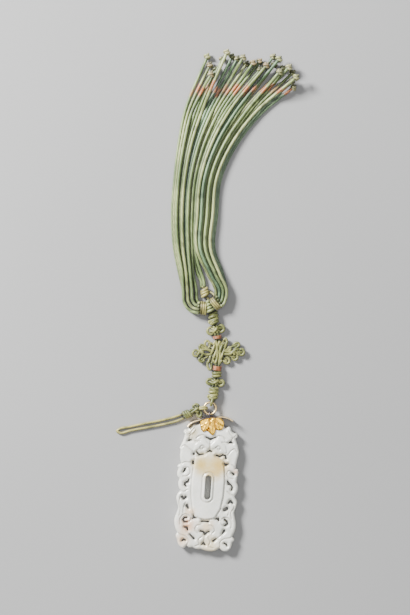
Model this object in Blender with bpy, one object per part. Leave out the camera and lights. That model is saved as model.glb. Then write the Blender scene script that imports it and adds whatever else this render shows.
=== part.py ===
"""Openwork jade plaque pendant: gilt mount and ring, knotted silk cord, side loop and tassel.

Lengths are written in millimetres and turned into metres where an object is made.
The plaque is drawn about its own centre: +Y runs up the pendant towards the tassel, +Z is its face.
"""

import math

import bmesh
import bpy
import numpy as np
from mathutils.geometry import delaunay_2d_cdt

MM = 0.001

# Jade plaque. Its outline and carving are drawn at DRAWN_HEIGHT and scaled to JADE_HEIGHT.
JADE_HEIGHT = 71.8
DRAWN_HEIGHT = 71.8
DRAWN_TOP = 37.1
JADE_THICKNESS = 5.6
EDGE_DROP = 1.3
CROWN_WIDTH = 1.7
TABLET_RISE = 0.55
TABLET_STEP_WIDTH = 0.9
CLOUD_RISE = 0.5
RIM_RISE = 0.4
RIM_WIDTH = 0.8
SLOT_WIDTH = 3.5
SLOT_LENGTH = 13.5
SLOT_CENTRE = (0.0, 0.35)

# Gilt mount
CLEARANCE = 0.3
GILT_THICKNESS = 0.6
ROOF_THICKNESS = 0.8
STAPLE_WIRE = 0.9
STAPLE_STANDOFF = 0.7
RING_OUTER_DIAMETER = 7.7
RING_WIRE = 1.2

# Silk
CORD_DIAMETER = 1.7
LOOP_CORD_DIAMETER = 1.4
THREAD_DIAMETER = 0.75
STRAND_DIAMETER = 1.6
END_KNOT_DIAMETER = 3.5
END_KNOT_SPANS = (4.4, 3.4, 1.2, 0.0)
STRAND_BEND = 18.0
SILK_GAP = 0.35
EAR_STAGGER = 0.13
WEB_THICKNESS = 0.9
WEB_SINK = 0.3

# Faceting
OUTLINE_STEP = 1.9
HOLE_STEP = 1.0
LATTICE_STEP = 2.25
BARREL_SIDES = 8
STRAND_STEP = 20.0
LOOP_STEP = 5.0
ROOF_STEP = 2.4
CUT_OVERSHOOT = 1.0
LAYING_STEP = 0.7

# The plaque's outline, anticlockwise from the neck, as smooth lobes that meet at notches
OUTLINE_LOBES = [
    [(5.6, 36.3), (2.5, 37.0), (-1.0, 37.1), (-4.0, 36.9), (-6.6, 36.2)],
    [(-6.6, 36.2), (-7.1, 35.0), (-8.4, 34.4), (-9.9, 34.5), (-11.9, 33.0), (-13.4, 31.4)],
    [(-13.4, 31.4), (-14.6, 31.5), (-15.5, 29.9), (-14.7, 28.5)],
    [(-14.7, 28.5), (-15.0, 27.0), (-15.5, 24.9), (-16.4, 22.6), (-17.0, 21.0)],
    [(-17.0, 21.0), (-16.5, 19.6), (-16.6, 17.5), (-16.4, 15.0), (-15.6, 12.5)],
    [(-15.6, 12.5), (-16.7, 12.0), (-17.6, 10.8), (-16.9, 9.7)],
    [(-16.9, 9.7), (-17.5, 7.3), (-17.2, 5.5), (-16.0, 4.0)],
    [(-16.0, 4.0), (-16.5, 2.0), (-16.3, 0.1), (-15.6, -1.6), (-14.9, -2.4)],
    [(-14.9, -2.4), (-16.3, -4.0), (-17.0, -6.4), (-16.3, -9.2), (-15.6, -11.8), (-16.2, -14.5),
     (-17.1, -17.6), (-17.1, -20.6), (-16.2, -23.6), (-15.2, -25.5)],
    [(-15.2, -25.5), (-15.9, -27.4), (-14.9, -29.5)],
    [(-14.9, -29.5), (-14.3, -31.6), (-12.9, -33.4), (-11.2, -34.0), (-9.4, -32.5)],
    [(-9.4, -32.5), (-7.7, -33.4), (-6.1, -33.2)],
    [(-6.1, -33.2), (-4.0, -34.0), (-1.5, -33.8)],
    [(-1.5, -33.8), (0.8, -34.4), (3.3, -34.7), (6.0, -34.3), (8.7, -32.6)],
    [(8.7, -32.6), (10.3, -33.9), (12.6, -34.1), (14.6, -32.4), (15.5, -29.0)],
    [(15.5, -29.0), (16.5, -27.6), (15.2, -25.7)],
    [(15.2, -25.7), (16.4, -22.8), (16.8, -19.3), (16.1, -15.6), (15.4, -12.1), (16.2, -9.2),
     (16.6, -6.7), (15.0, -3.7)],
    [(15.0, -3.7), (16.3, -0.9), (16.5, 1.9), (15.6, 4.3)],
    [(15.6, 4.3), (15.8, 6.8), (16.2, 9.8), (15.7, 11.3), (14.4, 11.6)],
    [(14.4, 11.6), (14.9, 15.8), (15.6, 19.9), (15.0, 23.6), (13.3, 27.8)],
    [(13.3, 27.8), (14.4, 29.3), (13.8, 30.9), (12.3, 31.1)],
    [(12.3, 31.1), (10.8, 32.2), (10.2, 33.8), (9.0, 34.4), (7.7, 33.5), (6.4, 34.4), (5.6, 36.3)],
]

# Pierced holes. Each is a group of strokes, and a stroke is a list of (x, y, half width).
HOLES = {
    "crown_notch": [[(-2.7, 27.7, 0.35), (-0.4, 26.8, 0.65), (2.4, 28.1, 0.35)]],
    "left_shoulder": [[(-12.7, 25.1, 0.3), (-11.9, 25.5, 0.6), (-10.8, 25.7, 0.3)]],
    "left_eye": [[(-9.0, 18.4, 0.6), (-9.0, 18.0, 0.6)]],
    "left_bracket": [[(-7.6, 19.3, 0.35), (-5.9, 17.9, 0.55), (-3.8, 18.4, 0.35)]],
    "left_seed": [[(-9.2, 14.0, 0.6), (-9.1, 12.9, 0.6)]],
    "left_comma": [[(-13.3, 9.5, 0.6), (-13.6, 8.6, 0.55), (-14.2, 7.8, 0.35)]],
    "left_curl": [[(-10.7, 4.1, 0.4), (-11.3, 2.7, 0.7), (-12.7, 2.0, 0.6), (-12.8, 0.9, 0.55),
                   (-12.0, 0.1, 0.4)]],
    "left_bow": [[(-13.8, -5.8, 0.7), (-12.8, -6.7, 0.8), (-11.8, -5.8, 0.7)]],
    "left_drop": [[(-10.8, -10.5, 0.85), (-10.0, -11.8, 0.5)]],
    "left_spur": [[(-7.0, -15.4, 0.3), (-6.6, -16.7, 0.65), (-5.2, -16.9, 0.3)],
                  [(-6.6, -16.7, 0.65), (-7.3, -17.4, 0.3)]],
    "left_hook": [[(-10.4, -16.9, 0.45), (-11.8, -17.2, 0.5), (-12.4, -18.3, 0.5), (-11.5, -19.5, 0.5),
                   (-10.0, -19.4, 0.4)]],
    "left_wedge": [[(-11.4, -22.2, 0.35), (-10.0, -22.6, 0.7), (-9.4, -23.9, 0.35)]],
    "left_slit": [[(-8.0, -26.2, 0.3), (-5.7, -28.3, 0.6)]],
    "left_crescent": [[(-12.1, -29.8, 0.5), (-11.3, -29.2, 0.55), (-10.3, -29.5, 0.4)]],
    "centre_star": [[(-1.4, 19.9, 0.35), (-0.4, 20.5, 0.55), (0.8, 20.1, 0.35)]],
    "tablet_foot": [[(-2.0, -18.5, 0.5), (-0.3, -18.5, 0.35), (1.5, -18.5, 0.5)]],
    "bat": [[(-2.4, -23.9, 0.5), (-0.9, -24.2, 0.5), (0.2, -25.3, 0.8), (1.2, -24.3, 0.5),
             (2.4, -23.9, 0.4)]],
    "foot_star": [[(-1.3, -31.2, 0.35), (-0.3, -30.5, 0.75), (0.7, -31.3, 0.35)]],
    "right_shoulder": [[(9.9, 25.5, 0.35), (10.8, 25.9, 0.7), (11.7, 25.6, 0.35)]],
    "right_bracket": [[(3.5, 18.2, 0.4), (5.2, 17.7, 0.55), (7.1, 18.7, 0.45), (8.5, 18.2, 0.45),
                       (8.8, 16.9, 0.55)]],
    "right_seed": [[(8.1, 13.9, 0.35), (9.1, 13.4, 0.7), (10.2, 13.9, 0.35)]],
    "right_comma": [[(12.6, 9.2, 0.4), (13.7, 8.4, 0.6)]],
    "right_curl": [[(10.6, 4.4, 0.4), (11.3, 3.1, 0.75), (12.7, 2.3, 0.4), (13.4, 1.2, 0.45),
                    (13.1, -0.2, 0.5)]],
    "right_arch": [[(11.9, -7.6, 0.5), (12.8, -6.4, 0.8), (14.1, -7.4, 0.5)]],
    "right_square": [[(10.0, -11.4, 0.95), (11.0, -10.7, 1.05)]],
    "right_spur": [[(5.4, -16.7, 0.3), (6.8, -16.6, 0.7), (7.2, -17.5, 0.4)]],
    "right_hook": [[(10.5, -16.7, 0.5), (11.7, -17.8, 0.6), (12.0, -19.1, 0.6), (10.9, -19.9, 0.6)]],
    "right_wedge": [[(10.5, -22.9, 0.8), (9.6, -24.5, 0.35)]],
    "right_slit": [[(5.0, -28.8, 0.65), (6.3, -27.7, 0.4)]],
    "right_crescent": [[(11.1, -29.7, 0.45), (12.2, -30.2, 0.5), (12.7, -31.1, 0.4)]],
}

# The raised tablet in the middle, and the cloud scrolls above it
TABLET_OUTLINE = [
    (-0.3, -17.2), (4.6, -16.0), (7.2, -11.0), (8.4, -4.0), (8.6, 4.0), (8.1, 10.0), (7.4, 15.0),
    (5.2, 16.4), (2.8, 17.3), (1.1, 18.8), (-0.4, 19.4), (-1.8, 18.6), (-3.4, 17.2), (-5.8, 16.6),
    (-7.8, 16.4), (-8.0, 12.0), (-8.7, 4.0), (-8.4, -4.0), (-7.2, -11.5), (-5.2, -16.2),
]
CLOUD_SCROLLS = [
    [(-1.6, 22.9, 1.3), (-4.4, 24.6, 2.3), (-7.4, 22.6, 1.6), (-8.6, 20.4, 0.8)],
    [(0.9, 22.9, 1.3), (3.8, 24.8, 2.3), (6.8, 23.0, 1.6), (8.2, 20.8, 0.8)],
    [(-13.4, 29.4, 1.2), (-11.6, 29.6, 1.2), (-10.2, 31.6, 1.3)],
    [(12.9, 29.3, 1.2), (10.8, 29.8, 1.2), (9.2, 31.6, 1.3)],
]

# The gilt leaf flap, drawn from the neck's top edge downwards, and the roof strip's arch
FLAP_OUTLINE = [
    (4.6, 1.4), (6.0, 0.2), (6.3, -2.3), (5.5, -4.4), (3.9, -5.0), (2.1, -4.9), (1.8, -6.2), (0.7, -8.0),
    (-0.9, -7.2), (-1.9, -6.3), (-3.2, -5.7), (-4.6, -6.5), (-5.7, -5.6), (-6.6, -2.9), (-6.8, -1.0),
    (-5.2, 0.6),
]
ROOF_ARCH = [(-13.5, -4.4), (-12.3, -2.7), (-10.7, -1.5), (-7.2, -0.1), (-3.9, 1.2), (-1.8, 1.75),
             (1.7, 2.1), (5.0, 2.4), (8.8, 1.8), (11.2, 0.6)]
STAPLE_X = -1.9
ROOF_AT_STAPLE = 1.75
SEAT_LENGTH = 8.6
SEAT_LEFT = -7.4
SEAT_RIGHT = 6.9

# The main cord's line, from the ring upwards, as offsets from the ring's top
CORD_LINE = [(1.2, 0.0), (1.05, 4.4), (1.5, 8.0), (2.15, 11.0), (2.35, 18.5), (2.7, 26.8), (1.2, 35.5),
             (0.1, 39.6), (-1.7, 46.1), (-2.4, 51.0)]
FIRST_KNOT_AT = 0.8

# Knots on it and side knots, which are as large as the cord they are tied in makes them
KNOT_HALF_DEPTH = 1.3 * CORD_DIAMETER
DOUBLE_KNOT_HALF_WIDTH = 1.65 * CORD_DIAMETER
WRAP_HALF_WIDTH = 1.45 * CORD_DIAMETER
CROSS_KNOT_HALF_WIDTH = 3.2 * CORD_DIAMETER
ENDLESS_BODY = 6.4 * CORD_DIAMETER
CLOVER_WIRE = 0.75 * LOOP_CORD_DIAMETER
CLOVER_REACH = 2.5 * LOOP_CORD_DIAMETER
SLEEVE_LENGTH = 2.2 * LOOP_CORD_DIAMETER
SLEEVE_HALF_WIDTH = 1.7 * LOOP_CORD_DIAMETER
SLEEVE_HALF_DEPTH = 1.4 * LOOP_CORD_DIAMETER
SLEEVE_TURNS = 2
HITCH_END = 0.7 * LOOP_CORD_DIAMETER

# Tassel: places on the drawn tassel, as offsets from the end of the last knot on the main cord
LEFT_COLLAR = (-5.2, 1.2)
RIGHT_COLLAR = (0.9, 4.0)
RIGHT_COLLAR_ANGLE = 35.0
COLLAR_LENGTH = 3.4
COLLAR_TURNS = 3
BUNDLE_LAYERS = 3
SKEIN_RISE = 1.0
SKEIN_SLIMNESS = 0.55
SKEIN_LOWNESS = 0.85
STRANDS = 24
SLOTS = 4
TAIL_STRANDS = 2
TAIL_KNOT = (-5.1, 9.8)
TAIL_KNOT_LEAN = 105.0
TAIL_KNOT_LENGTH = 5.0
TAIL_KNOT_HALF_WIDTH = 2.3
TAIL_KNOT_HALF_DEPTH = 2.0
TAIL_KNOT_TURNS = 2
TAIL_ARC = [(2.6, 0.2, 1.6), (4.1, 0.2, 2.2), (5.3, -0.5, 2.6)]
TAIL_ARC_WIRE = 1.1
TWIN_START = (-1.9, 2.9)
TWIN_SPACING = (1.4, 0.5)
TWIN_RISE = (-0.8, 4.0)
TWIN_BANK = [(-9.4, 19.4), (-7.4, 19.4)]
LEFT_GATE = [(-17.0, 10.0), (-9.8, 10.0)]
RIGHT_GATE = [(1.0, 10.3), (6.9, 11.0)]
LEFT_BANK = [(-20.0, 18.9), (-11.8, 19.2)]
RIGHT_BANK = [(-4.3, 19.6), (4.6, 20.4)]
STATIONS = [
    [(-23.8, 32.2), (-1.1, 33.9)],
    [(-26.4, 51.3), (-1.0, 53.2)],
    [(-26.6, 70.6), (-0.3, 72.5)],
    [(-25.6, 92.7), (8.9, 95.2)],
    [(-24.2, 106.5), (19.5, 110.0)],
]
STRAND_ENDS = [
    (-12.0, 141.6), (-10.2, 136.9), (-9.1, 131.6), (-6.6, 134.8), (-3.5, 140.7), (-1.4, 144.2),
    (1.7, 142.4), (4.7, 141.3), (7.9, 141.9), (10.2, 139.0), (13.8, 139.4), (17.4, 140.6), (18.0, 135.9),
    (21.3, 138.4), (24.7, 143.8), (28.0, 142.3), (25.6, 139.4), (30.9, 137.6), (28.8, 135.2), (33.8, 138.3),
    (36.2, 135.5), (38.3, 132.4), (36.3, 130.4), (37.4, 127.4),
]

# The endless knot's loops, as (inner place, tip, width) in cord diameters from its middle
KNOT_EARS = [
    ((-2.3, 2.4), (-3.2, 4.6), 2.1),
    ((2.2, 2.4), (2.9, 4.8), 2.0),
    ((-2.7, -2.3), (-4.4, -5.3), 1.7),
    ((2.4, -2.4), (3.8, -4.6), 2.2),
    ((-4.8, -0.2), (-8.2, 0.1), 2.0),
    ((-4.7, 0.4), (-5.6, 3.7), 1.7),
    ((-4.9, -0.7), (-6.0, -3.9), 1.9),
    ((5.2, 0.2), (6.9, 3.1), 2.0),
    ((5.6, -0.4), (9.0, -1.3), 2.0),
    ((5.2, -0.9), (5.6, -4.2), 2.0),
]

# Side loop, as offsets from the ring's centre
HITCH_ANGLE = 188.0
CLOVER_KNOT = (-7.6, -1.6)
CLOVER_LEAN = 132.0
SLEEVE_KNOT = (-12.4, -4.2)
SLEEVE_LEAN = 205.0
SIDE_LOOP = [
    (-14.6, -4.4), (-19.5, -6.4), (-26.3, -8.6), (-36.6, -11.4), (-44.1, -13.6), (-49.0, -15.0),
    (-50.2, -16.2), (-48.6, -17.1), (-43.4, -15.6), (-33.0, -12.9), (-22.7, -10.1), (-18.4, -8.7),
    (-14.2, -6.6),
]

COLOURS = {
    "jade": ((0.80, 0.80, 0.74), 0.25, 0.0),
    "gilt": ((0.90, 0.62, 0.24), 0.28, 1.0),
    "silk": ((0.50, 0.54, 0.36), 0.60, 0.0),
    "orange_thread": ((0.66, 0.30, 0.14), 0.65, 0.0),
}


# Scene and materials

def clear_scene():
    for thing in list(bpy.data.objects):
        bpy.data.objects.remove(thing, do_unlink=True)


def new_collection(name):
    group = bpy.data.collections.new(name)
    bpy.context.scene.collection.children.link(group)
    return group


def new_material(name):
    """Principled material of one node, in the colour of what it is made of."""
    kind = material_kind(name)
    colour, roughness, metallic = COLOURS[kind]
    material = bpy.data.materials.new(name)
    material.use_nodes = True
    shader = material.node_tree.nodes["Principled BSDF"]
    shader.inputs["Base Color"].default_value = (*colour, 1.0)
    shader.inputs["Roughness"].default_value = roughness
    shader.inputs["Metallic"].default_value = metallic
    return material


def material_kind(name):
    if name.startswith("jade"):
        return "jade"
    if name in ("gilt_canopy", "suspension_ring"):
        return "gilt"
    return "orange_thread" if "orange" in name else "silk"


# Smooth lines and distances

def smooth(points, step):
    """Evenly spaced points on a smooth curve through the given ones."""
    points = np.asarray(points, float)
    chords = np.linalg.norm(np.diff(points, axis=0), axis=1)
    knots = np.concatenate([[0.0], np.cumsum(chords)])
    slopes = np.gradient(points, knots, axis=0)
    count = max(2, int(round(knots[-1] / step)))
    at = np.linspace(0.0, knots[-1], count + 1)
    span = np.clip(np.searchsorted(knots, at, side="right") - 1, 0, len(chords) - 1)
    width = chords[span][:, None]
    t = ((at - knots[span]) / chords[span])[:, None]
    start_share = 2 * t**3 - 3 * t**2 + 1
    end_share = 3 * t**2 - 2 * t**3
    lean_out = (t**3 - 2 * t**2 + t) * width
    lean_in = (t**3 - t**2) * width
    return (start_share * points[span] + end_share * points[span + 1]
            + lean_out * slopes[span] + lean_in * slopes[span + 1])


def lengths_along(points):
    steps = np.linalg.norm(np.diff(np.asarray(points, float), axis=0), axis=1)
    return np.concatenate([[0.0], np.cumsum(steps)])


def points_at(points, places):
    """Points at the given lengths along a line of points."""
    points = np.asarray(points, float)
    along = lengths_along(points)
    return np.stack([np.interp(places, along, points[:, axis]) for axis in range(points.shape[1])], axis=1)


def stroke_distance(places, stroke):
    """Distance from each place to a stroke of changing half width: negative inside it."""
    stroke = np.asarray(stroke, float)
    best = np.full(len(places), np.inf)
    for start, end in zip(stroke, stroke[1:]):
        run = end[:2] - start[:2]
        share = np.clip((places - start[:2]) @ run / (run @ run), 0.0, 1.0)
        nearest = start[:2] + share[:, None] * run
        reach = start[2] + share * (end[2] - start[2])
        best = np.minimum(best, np.linalg.norm(places - nearest, axis=1) - reach)
    return best


def loop_distance(places, loop):
    """Distance from each place to a closed outline: negative inside it."""
    loop = np.asarray(loop, float)
    best = np.full(len(places), np.inf)
    inside = np.zeros(len(places), bool)
    for start, end in zip(loop, np.roll(loop, -1, axis=0)):
        run = end - start
        share = np.clip((places - start) @ run / (run @ run), 0.0, 1.0)
        best = np.minimum(best, np.linalg.norm(places - start - share[:, None] * run, axis=1))
        spans = (start[1] > places[:, 1]) != (end[1] > places[:, 1])
        rise = np.where(run[1] == 0.0, 1.0, run[1])
        crossing = start[0] + (places[:, 1] - start[1]) * run[0] / rise
        inside ^= spans & (places[:, 0] < crossing)
    return np.where(inside, -best, best)


def walk_round(field, start, step):
    """Evenly spaced points round the zero line of a field, anticlockwise."""
    reach = 1e-4

    def slope(place):
        around = place + reach * np.array([(1, 0), (-1, 0), (0, 1), (0, -1)])
        east, west, north, south = field(around)
        return np.array([east - west, north - south]) / (2 * reach)

    def settled(place):
        for _ in range(4):
            lean = slope(place)
            place = place - field(place[None])[0] * lean / max(lean @ lean, 0.05)
        return place

    stride = step / 5
    points = [settled(np.asarray(start, float))]
    for _ in range(2000):
        lean = slope(points[-1])
        ahead = np.array([-lean[1], lean[0]]) / np.linalg.norm(lean)
        home = points[0] - points[-1]
        if len(points) > 4 and np.linalg.norm(home) < 1.3 * stride and home @ ahead > 0.0:
            break
        points.append(settled(points[-1] + stride * ahead))
    closed = np.vstack([points, points[:1]])
    length = lengths_along(closed)[-1]
    count = max(6, int(round(length / step)))
    return points_at(closed, np.arange(count) * length / count)


# Mesh and curve objects

def link(thing, name, parent):
    thing.name = name
    thing.data.name = name
    thing.parent = parent
    PARTS.objects.link(thing)
    thing.data.materials.clear()
    thing.data.materials.append(new_material(name))
    return thing


def tube_curve(points, radius, radii=None, cyclic=False, roundness=2):
    """Round cord along the points, with closed ends and four sides more than twice its roundness."""
    data = bpy.data.curves.new("tube", "CURVE")
    data.dimensions = "3D"
    data.bevel_depth = radius * MM
    data.bevel_resolution = roundness
    data.use_fill_caps = not cyclic
    spline = data.splines.new("POLY")
    spline.points.add(len(points) - 1)
    spline.use_cyclic_u = cyclic
    for index, point in enumerate(points):
        spline.points[index].co = (point[0] * MM, point[1] * MM, point[2] * MM, 1.0)
        spline.points[index].radius = 1.0 if radii is None else radii[index] / radius
    return bpy.data.objects.new("tube", data)


def plate_curve(outline, low, high):
    """Flat plate with the given outline, between two heights."""
    data = bpy.data.curves.new("plate", "CURVE")
    data.dimensions = "2D"
    data.fill_mode = "BOTH"
    data.extrude = (high - low) / 2 * MM
    spline = data.splines.new("POLY")
    spline.points.add(len(outline) - 1)
    spline.use_cyclic_u = True
    for index, (x, y) in enumerate(outline):
        spline.points[index].co = (x * MM, y * MM, 0.0, 1.0)
    plate = bpy.data.objects.new("plate", data)
    plate.location.z = (low + high) / 2 * MM
    return plate


def as_mesh(thing):
    """The same shape as a welded mesh object; the curve is removed."""
    bpy.context.scene.collection.objects.link(thing)
    bpy.context.view_layer.update()
    evaluated = thing.evaluated_get(bpy.context.evaluated_depsgraph_get())
    mesh = bpy.data.meshes.new_from_object(evaluated)
    mesh.transform(thing.matrix_world)
    shape = bmesh.new()
    shape.from_mesh(mesh)
    bmesh.ops.remove_doubles(shape, verts=shape.verts, dist=0.002 * MM)
    bmesh.ops.recalc_face_normals(shape, faces=shape.faces)
    shape.to_mesh(mesh)
    shape.free()
    bpy.data.objects.remove(thing, do_unlink=True)
    return bpy.data.objects.new("solid", mesh)


def fused(things):
    """One mesh object from several overlapping ones."""
    solids = [as_mesh(thing) for thing in things]
    for solid in solids:
        bpy.context.scene.collection.objects.link(solid)
    base = solids[0]
    for other in solids[1:]:
        union = base.modifiers.new("union", "BOOLEAN")
        union.operation = "UNION"
        union.solver = "EXACT"
        union.object = other
    whole = as_mesh_keeping(base)
    for solid in solids:
        bpy.data.objects.remove(solid, do_unlink=True)
    return whole


def as_mesh_keeping(thing):
    bpy.context.view_layer.update()
    evaluated = thing.evaluated_get(bpy.context.evaluated_depsgraph_get())
    return bpy.data.objects.new("solid", bpy.data.meshes.new_from_object(evaluated))


def box_cutter(name, low, high, parent):
    """Box between two corners that cuts a seat and is left out of the object."""
    bpy.ops.mesh.primitive_cube_add(size=1.0)
    box = bpy.context.active_object
    box.name = name
    box.scale = [(b - a) * MM for a, b in zip(low, high)]
    box.location = [(a + b) / 2 * MM for a, b in zip(low, high)]
    box.parent = parent
    box.hide_render = True
    box.display_type = "WIRE"
    for group in list(box.users_collection):
        group.objects.unlink(box)
    CUTTERS.objects.link(box)
    return box


def cut_by(thing, cutter):
    cut = thing.modifiers.new(cutter.name, "BOOLEAN")
    cut.operation = "DIFFERENCE"
    cut.solver = "EXACT"
    cut.object = cutter


# Jade plaque

def jade_scale():
    return JADE_HEIGHT / DRAWN_HEIGHT


def jade_outline():
    lobes = [smooth(lobe, OUTLINE_STEP)[:-1] for lobe in OUTLINE_LOBES]
    return np.vstack(lobes)


def slot_stroke():
    half_width = SLOT_WIDTH / 2 / jade_scale()
    half_run = SLOT_LENGTH / 2 / jade_scale() - half_width
    x, y = SLOT_CENTRE
    return [(x, y + half_run, half_width), (x, y - half_run, half_width)]


def hole_field(strokes):
    def field(places):
        return np.min([stroke_distance(places, stroke) for stroke in strokes], axis=0)
    return field


def stroke_tip(stroke):
    """The point on a stroke's outline straight ahead of its last point."""
    before, last = np.asarray(stroke[-2], float), np.asarray(stroke[-1], float)
    ahead = last[:2] - before[:2]
    return last[:2] + last[2] * ahead / np.linalg.norm(ahead)


def hole_loops():
    """Outlines of the pierced holes and of the slot."""
    loops = [walk_round(hole_field(strokes), stroke_tip(strokes[0]), HOLE_STEP) for strokes in HOLES.values()]
    slot = slot_stroke()
    loops.append(walk_round(hole_field([slot]), stroke_tip(slot), HOLE_STEP * 2))
    return loops


def jade_surface(places):
    """Height of the carved face over places on the plaque, in drawn units."""
    edge = -loop_distance(places, jade_outline())
    for strokes in HOLES.values():
        edge = np.minimum(edge, hole_field(strokes)(places))
    slot = stroke_distance(places, slot_stroke())
    inward = np.clip(edge / CROWN_WIDTH, 0.0, 1.0)
    tablet = -loop_distance(places, TABLET_OUTLINE)
    raised = np.clip(0.5 + tablet / TABLET_STEP_WIDTH, 0.0, 1.0)
    ground = JADE_THICKNESS - max(TABLET_RISE, CLOUD_RISE) - RIM_RISE
    height = ground - EDGE_DROP * (1.0 - np.sqrt(1.0 - (1.0 - inward) ** 2))
    height = height + TABLET_RISE * raised * raised * (3.0 - 2.0 * raised)
    for scroll in CLOUD_SCROLLS:
        widest = max(point[2] for point in scroll)
        depth = np.clip(-stroke_distance(places, scroll) / widest, 0.0, 1.0)
        height = height + CLOUD_RISE * np.sqrt(1.0 - (1.0 - depth) ** 2)
    rim = np.clip(1.0 - np.abs(slot - RIM_WIDTH / 2) / RIM_WIDTH, 0.0, 1.0)
    return height + RIM_RISE * rim * rim * (3.0 - 2.0 * rim)


def lattice_points(outline, loops):
    """Points of a triangular lattice on the material, with extra rings along the main relief."""
    low, high = outline.min(axis=0), outline.max(axis=0)
    rows = []
    for row, y in enumerate(np.arange(low[1], high[1], LATTICE_STEP * math.sqrt(0.75))):
        xs = np.arange(low[0] + (row % 2) * LATTICE_STEP / 2, high[0], LATTICE_STEP)
        rows.append(np.stack([xs, np.full(len(xs), y)], axis=1))
    lattice = np.vstack(rows)

    def tablet(places):
        return loop_distance(places, TABLET_OUTLINE)

    def slot(places):
        return stroke_distance(places, slot_stroke())

    x, y = SLOT_CENTRE
    rings = [
        walk_round(lambda places: tablet(places) + TABLET_STEP_WIDTH / 2, (8.0, y), LATTICE_STEP),
        walk_round(lambda places: tablet(places) - TABLET_STEP_WIDTH / 2, (9.0, y), LATTICE_STEP),
        walk_round(lambda places: slot(places) - RIM_WIDTH / 2, (x + SLOT_WIDTH, y), LATTICE_STEP * 0.9),
        walk_round(lambda places: slot(places) - RIM_WIDTH * 1.6, (x + SLOT_WIDTH, y), LATTICE_STEP),
    ]
    features = np.vstack(rings)
    near = np.linalg.norm(lattice[:, None] - features[None], axis=2).min(axis=1)
    places = np.vstack([lattice[near > 0.55 * LATTICE_STEP], features])
    clear = -loop_distance(places, outline)
    for loop in loops:
        clear = np.minimum(clear, loop_distance(places, loop))
    return places[clear > 0.35 * LATTICE_STEP]


def triangles_between(points, loops_at, outline, holes):
    """Triangles over the points that lie on the material."""
    edges = []
    for start, count in loops_at:
        edges += [(start + k, start + (k + 1) % count) for k in range(count)]
    corners, _, faces, *_ = delaunay_2d_cdt([tuple(point) for point in points], edges, [], 0, 1e-6)
    corners = np.array([tuple(corner) for corner in corners])
    faces = np.array(faces)
    middles = corners[faces].mean(axis=1)
    keep = loop_distance(middles, outline) < 0.0
    for hole in holes:
        keep &= loop_distance(middles, hole) > 0.0
    return corners, faces[keep]


def jade_mesh():
    """Closed mesh of the carved plaque: flat back, pierced walls and the relief on its face."""
    outline = jade_outline()
    holes = hole_loops()
    rings = [outline] + holes
    loops_at = []
    start = 0
    for ring in rings:
        loops_at.append((start, len(ring)))
        start += len(ring)
    border = np.vstack(rings)
    inner = lattice_points(outline, holes)
    top, top_faces = triangles_between(np.vstack([border, inner]), loops_at, outline, holes)
    back, back_faces = triangles_between(border, loops_at, outline, holes)
    scale = jade_scale()
    heights = jade_surface(top)
    shape = bmesh.new()
    upper = [shape.verts.new((x * scale * MM, y * scale * MM, z * MM)) for (x, y), z in zip(top, heights)]
    lower = [shape.verts.new((x * scale * MM, y * scale * MM, 0.0)) for x, y in back]
    for a, b, c in top_faces:
        shape.faces.new((upper[a], upper[b], upper[c]))
    for a, b, c in back_faces:
        shape.faces.new((lower[c], lower[b], lower[a]))
    for start, count in loops_at:
        for k in range(count):
            a, b = start + k, start + (k + 1) % count
            shape.faces.new((upper[b], upper[a], lower[a], lower[b]))
    bmesh.ops.recalc_face_normals(shape, faces=shape.faces)
    mesh = bpy.data.meshes.new("jade_plaque")
    shape.to_mesh(mesh)
    shape.free()
    return mesh


def neck_top():
    return DRAWN_TOP * jade_scale()


def seat_height():
    """Level of the flat seat under the gilt flap."""
    return JADE_THICKNESS - GILT_THICKNESS - CLEARANCE


def make_jade(frame):
    plaque = link(bpy.data.objects.new("jade_plaque", jade_mesh()), "jade_plaque", frame)
    top = neck_top()
    low = (SEAT_LEFT, top - SEAT_LENGTH, seat_height())
    high = (SEAT_RIGHT, top + CUT_OVERSHOOT, JADE_THICKNESS + CUT_OVERSHOOT)
    cut_by(plaque, box_cutter("front_seat", low, high, frame))
    low = (SEAT_LEFT, top - SEAT_LENGTH, -CUT_OVERSHOOT)
    high = (SEAT_RIGHT, top + CUT_OVERSHOOT, GILT_THICKNESS + CLEARANCE)
    cut_by(plaque, box_cutter("back_seat", low, high, frame))


# Gilt mount

def ribbon_outline(line, thickness):
    """Outline of a strip of even thickness along a line."""
    line = np.asarray(line, float)
    lean = np.gradient(line, axis=0)
    lean /= np.linalg.norm(lean, axis=1)[:, None]
    side = np.stack([-lean[:, 1], lean[:, 0]], axis=1) * thickness / 2
    return np.vstack([line + side, (line - side)[::-1]])[::-1]


def staple_top():
    """Height of the ring's wire centre above the plaque's centre, where the staple holds it."""
    return neck_top() + ROOF_AT_STAPLE + ROOF_THICKNESS / 2 + STAPLE_STANDOFF + RING_WIRE / 2


def ring_radius():
    return (RING_OUTER_DIAMETER - RING_WIRE) / 2


def ring_centre():
    return np.array([STAPLE_X, staple_top() + ring_radius()])


def ring_level():
    return JADE_THICKNESS / 2


def staple_route():
    reach = RING_WIRE / 2 + STAPLE_WIRE / 2 + CLEARANCE
    foot = neck_top() + ROOF_AT_STAPLE
    route = [(STAPLE_X, foot, ring_level() - reach)]
    for angle in np.linspace(-90.0, 90.0, 7):
        y = staple_top() + reach * math.cos(math.radians(angle))
        route.append((STAPLE_X, y, ring_level() + reach * math.sin(math.radians(angle))))
    route.append((STAPLE_X, foot, ring_level() + reach))
    return route


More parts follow.
